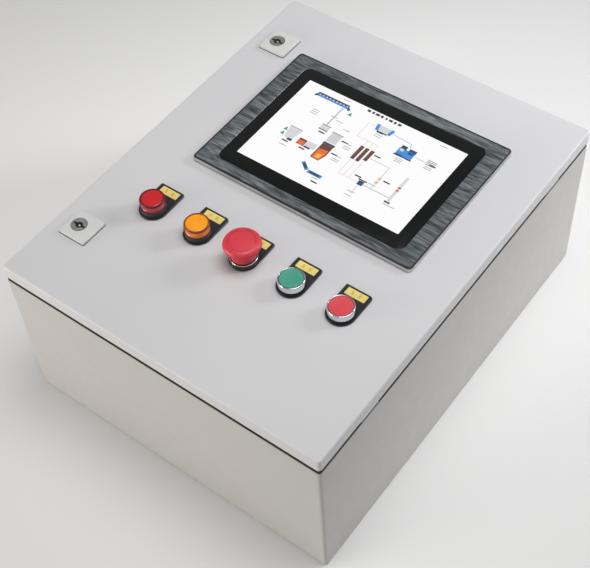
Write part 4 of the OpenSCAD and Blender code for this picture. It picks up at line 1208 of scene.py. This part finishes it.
def make_rails():
    low, high = extent("din_rails")
    deck, top = low[2], high[2]
    parts = []
    opening = Solid().plates([(15, 6.2, 3.0, -2), (15, 6.2, 3.0, 3)], steps=4)
    section = eased([(-13.5, deck, 0.8), (13.5, deck, 0.8), (13.5, top - 1, 0.4), (17.5, top - 1),
                     (17.5, top),
                     (12.5, top, 0.8), (12.5, deck + 1, 0.5), (-12.5, deck + 1, 0.5), (-12.5, top, 0.8),
                     (-17.5, top), (-17.5, top - 1), (-13.5, top - 1, 0.4)], True, 3)
    for y in RAIL_ROWS:
        bar = Solid().loft([[(sx * 125, y + a, b) for a, b in section] for sx in SIDES])
        parts.append(perforation.make(
            finishes["galvanised_steel"], Sheet=bar, Opening=opening, Columns=10, Rows=1,
            Column_Pitch=25 * MM, Row_Pitch=1.0, Start=metres(-112.5, y, deck)))
    piece("mounting_rails", joined(*parts), "din_rails")
    spots = [(sx * 110, y, deck + 1) for y in RAIL_ROWS for sx in SIDES]
    shanks = Solid()
    for x, y, z in spots:
        shanks.turned(thread(2.0, z - 8, z, 0.7), (x, y), segments=20)
    piece("rail_screws_cross_head", joined(at_places(screw(4.6), spots), shanks), "rail_screws")


def device_row(name, node, y_offsets, z, count, pitch, well=(5.2, 6.4), head=1.9):
    """Terminals along a rail device: wells painted near-black as their shade, with slotted screws in them."""
    low, high = extent(node)
    x0 = (low[0] + high[0]) / 2 - pitch * (count - 1) / 2
    y0 = middle(node)[1] + y_offsets[0]
    gap = y_offsets[1] - y_offsets[0]
    cup = Solid().block((*well, 1.0), (0, 0, 0), 0.3)
    cups = in_rows(cup, (x0, y0, z - 0.6), count, pitch, 2, gap)
    detail(name + "_wells", cups, node, "device_dark_grey", "painted_shade_black")
    heads = in_rows(screw(head), (x0, y0, z + 0.3), count, pitch, 2, gap)
    detail(name + "_screws", heads, node, "zinc_plated_steel")


def make_rail_devices():
    for name, node, width in (("supply_case", "power_supply", 0.5), ("controller_case", "controller", 0.5),
                              ("contactor_case", "contactor", 0.5), ("relay_cases", "interface_relays", 0.5),
                              ("terminal_bodies", "terminal_blocks", 0.3),
                              ("rail_end_clamps", "end_clamps", 0.5)):
        copied(name, node, width)
    device_row("supply_terminals", "power_supply", (-43.5, 43.5), 102, 7, 6.6)
    device_row("controller_terminals", "controller", (-35, 35), 80, 18, 6.9, (5.6, 11))
    device_row("contactor_terminals", "contactor", (-31, 31), 74, 4, 10.6, (8, 10), 3.1)
    device_row("relay_terminals", "interface_relays", (-30, 30), 66, 6, 13.0, (9, 9), 2.6)
    device_row("block_terminals", "terminal_blocks", (-17.5, 17.5), 56, 28, 6.2, (4.4, 6.4), 1.7)

    def top_of(node):
        return (*middle(node)[:2], extent(node)[1][2])

    x, y, z = top_of("power_supply")
    # the vent slots are near-black blocks: painted shade
    vent = Solid().block((2.2, 17, 0.7), (0, 0, 0), 0.25)
    detail("supply_vents", in_rows(vent, (x - 19.5, y + 23, z - 0.35), 11, 3.9), "power_supply",
           "device_dark_grey", "painted_shade_black")
    labels, prints, lights = Solid(), Solid(), Solid()
    labels.block((40, 26, 0.4), (x, y - 12, z - 0.15), 0.12)
    for k, wide in enumerate((30, 34, 22, 28)):
        prints.block((wide, 1.5, 0.15), (x - (36 - wide) / 2, y - 4 - 5 * k, z + 0.22), 0.05)
    lights.turned([(1.6, z - 0.4), (1.6, z + 0.5, 0.3), (0.8, z + 0.9)], (x + 16, y + 8), segments=20)
    x, y, z = top_of("controller")
    labels.block((52, 34, 0.4), (x - 34, y, z - 0.15), 0.12)
    for k, wide in enumerate((40, 46, 30, 44, 24)):
        prints.block((wide, 1.6, 0.15), (x - 34 - (46 - wide) / 2, y + 12 - 6 * k, z + 0.22), 0.05)
    for k in range(8):
        for side in SIDES:
            lights.block((2.2, 1.4, 0.6), (x + 5 + 5.4 * k, y + side * 18, z - 0.25), 0.2)
    sockets = Solid().block((17, 14, 0.9), (x + 24, y, z - 0.45), 0.3)
    sockets.block((12, 10, 0.9), (x + 48, y, z - 0.45), 0.3)
    x, y, z = top_of("contactor")
    labels.block((30, 12, 0.4), (x, y + 12, z - 0.15), 0.12)
    sockets.block((18, 9, 1.6), (x, y - 5, z - 0.3), 0.5)
    prints.block((20, 1.4, 0.15), (x, y + 12, z + 0.22), 0.05)
    # the sockets are near-black blocks: painted shade
    detail("device_sockets", sockets, "controller", "device_dark_grey", "painted_shade_black")
    r_low, r_high = extent("interface_relays")
    for k in range(6):
        rx = r_low[0] + 6.4 + 13 * k
        labels.block((9.6, 12, 0.4), (rx, y + 5, r_high[2] - 0.15), 0.12)
        lights.block((2.2, 1.4, 0.6), (rx, y - 8, r_high[2] - 0.25), 0.2)
    detail("device_label_plates", labels, "controller", "device_light_grey", "label_white")
    detail("device_label_marks", prints, "controller", "device_dark_grey", "dark_ink")
    detail("device_indicators", lights, "controller", "connector_green", "led_green")
    _, y, z = top_of("terminal_blocks")
    first_tag = extent("terminal_blocks")[0][0] + 3.05
    tag = Solid().block((5.2, 7.5, 0.7), (0, 0, 0), 0.25)
    detail("terminal_tags", in_rows(tag, (first_tag, y - 4.6, z - 0.3), 28, 6.2, 2, 9.2), "terminal_blocks",
           "device_light_grey", "label_white")
    tops = [(x, y, 52.0) for x, y in ((-113.5, -22.5), (34.5, -22.5), (-98.5, -135), (86, -135))]
    detail("end_clamp_screws", at_places(screw(2.4), tops, seed=5), "end_clamps", "zinc_plated_steel")


def make_fasteners():
    low, high = extent("plate_studs")
    rods = gathered(Solid().turned(thread(4.0, low[2], high[2], 1.25), place, segments=32)
                    for place in corners(155, 205))
    piece("weld_studs", rods, "plate_studs")
    for name, node, width in (
            ("stud_spacers", "plate_spacers", 0.4), ("plate_flange_nuts", "plate_nuts", 0.35),
            ("mounting_plate_panel", "mounting_plate", 0.4), ("case_earth_stud", "earth_stud", 0.35),
            ("door_earth_bolt", "door_earth_stud", 0.35), ("case_hinge_leaves", "fixed_hinge_leaves", 0.2),
            ("hinge_pin_rods", "hinge_pins", 0.25), ("hinge_leaves_on_door", "door_hinge_leaves", 0.2),
            ("gland_cover_plate", "gland_plate", 0.4), ("gland_lock_nuts", "gland_locknuts", 0.5)):
        copied(name, node, width)


def make_glands():
    wall = extent("gland_plate")[1][1]
    z = middle("cable_glands")[2]
    meshes = []
    rib = Solid().block((1.6, 2.0, 7.4), (0, 0, 8.6), 0.4)
    section = [(6.5, -12), *thread(12.4, -12, -0.2, 1.5), (12.3, 7.9), (14, 8.05, 0.4), (14, 17, 0.6),
               (13.1, 18.6, 0.5), (10.6, 22.6, 0.8), (10, 23), (8.2, 23, 0.4), (6.5, 22.2, 0.4)]
    for side in SIDES:
        body = cut(Solid().prism(hexagon(17.3), 0, 8, 0.6).mesh(), disc(9.0, -1, 9, (0, 0)))
        sleeve = Solid().turned(section, hollow=True)
        ribs = ring.make(finishes["gland_black"], Part=rib, Count=24, Radius=13.3 * MM,
                         Centre=(0.0, 0.0, 0.0))
        one = joined(body, sleeve, ribs)
        one.transform(Matrix.Translation(metres(side * 35, wall, z)) @ OUTWARD)
        meshes.append(one)
    piece("cable_glands_ribbed", joined(*meshes), "cable_glands")
    heads, shanks = [(x, wall, z + dz) for x, dz in corners(*GLAND_SCREWS)], Solid()
    for head in heads:
        rod = Solid().turned(thread(2.45, -9, 0.1, 0.8), segments=20)
        shanks.add(rod.moved(Matrix.Translation(head) @ OUTWARD).points, rod.faces)
    caps = at_places(screw(4.6), heads, (-math.pi / 2, 0.0, 0.0), seed=8)
    piece("gland_plate_cross_screws", joined(caps, shanks), "gland_plate_screws")


# ---------- build ----------

for build in (make_case, make_gap_shade_strip, make_door, make_panel, make_panel_back, make_legends, make_lamps,
              make_stop, make_buttons, make_springs, make_device_backs, make_locks, make_ducts, make_rails,
              make_rail_devices, make_fasteners, make_glands):
    build()

for node, item in frame["nodes"].items():
    if node not in shown_instead:
        item.data.materials.clear()
        item.data.materials.append(finishes[slot_of[node]].material)


# ---------- studio ----------

def make_studio():
    floor_finish = Finish("studio_floor_paint", tone(226, 226, 226), 0.85)
    floor_finish.mottle(floor_finish.noise(3, 2), 0.995, 1.0)
    half = 30000                             # so far out that its edge doesn't show
    square = [(half, half), (-half, half), (-half, -half), (half, -half)]
    floor = bpy.data.objects.new("studio_floor", Solid().prism(square, -6, -0.2).mesh("studio_floor"))
    floor.data.materials.append(floor_finish.material)
    scene.collection.objects.link(floor)

    world = bpy.data.worlds.new("studio_air")
    scene.world = world
    world.use_nodes = True
    sky = world.node_tree.nodes["Background"]
    sky.inputs["Color"].default_value = (0.985, 0.99, 1.0, 1)
    sky.inputs["Strength"].default_value = 0.31

    def softbox(name, place, aim, size, power, colour, spread=180):
        lamp = bpy.data.lights.new(name, "AREA")
        lamp.shape, lamp.size, lamp.size_y = "RECTANGLE", *size
        lamp.energy, lamp.color, lamp.spread = power, colour, math.radians(spread)
        item = bpy.data.objects.new(name, lamp)
        direction = Vector(aim) - Vector(place)
        turn = direction.to_track_quat("-Z", "Y").to_matrix().to_4x4()
        item.matrix_world = Matrix.Translation(place) @ turn
        scene.collection.objects.link(item)

    softbox("overhead_softbox", (0.40, 0.34, 2.3), (0.16, 0.13, 0.2), (1.3, 1.6), 5.9, (1.0, 0.995, 0.99), 68)
    softbox("right_rear_softbox", (1.15, 1.45, 0.85), (0.2, 0.40, 0.12), (0.7, 0.7), 1.3, (0.98, 0.99, 1.0),
            32)
    softbox("left_front_softbox", (-1.6, -2.3, 0.55), (-0.05, -0.2, 0.1), (1.6, 0.7), 50,
            (1.0, 0.935, 0.865))
    scene.view_settings.view_transform = "Standard"
    scene.view_settings.look = "None"


make_studio()
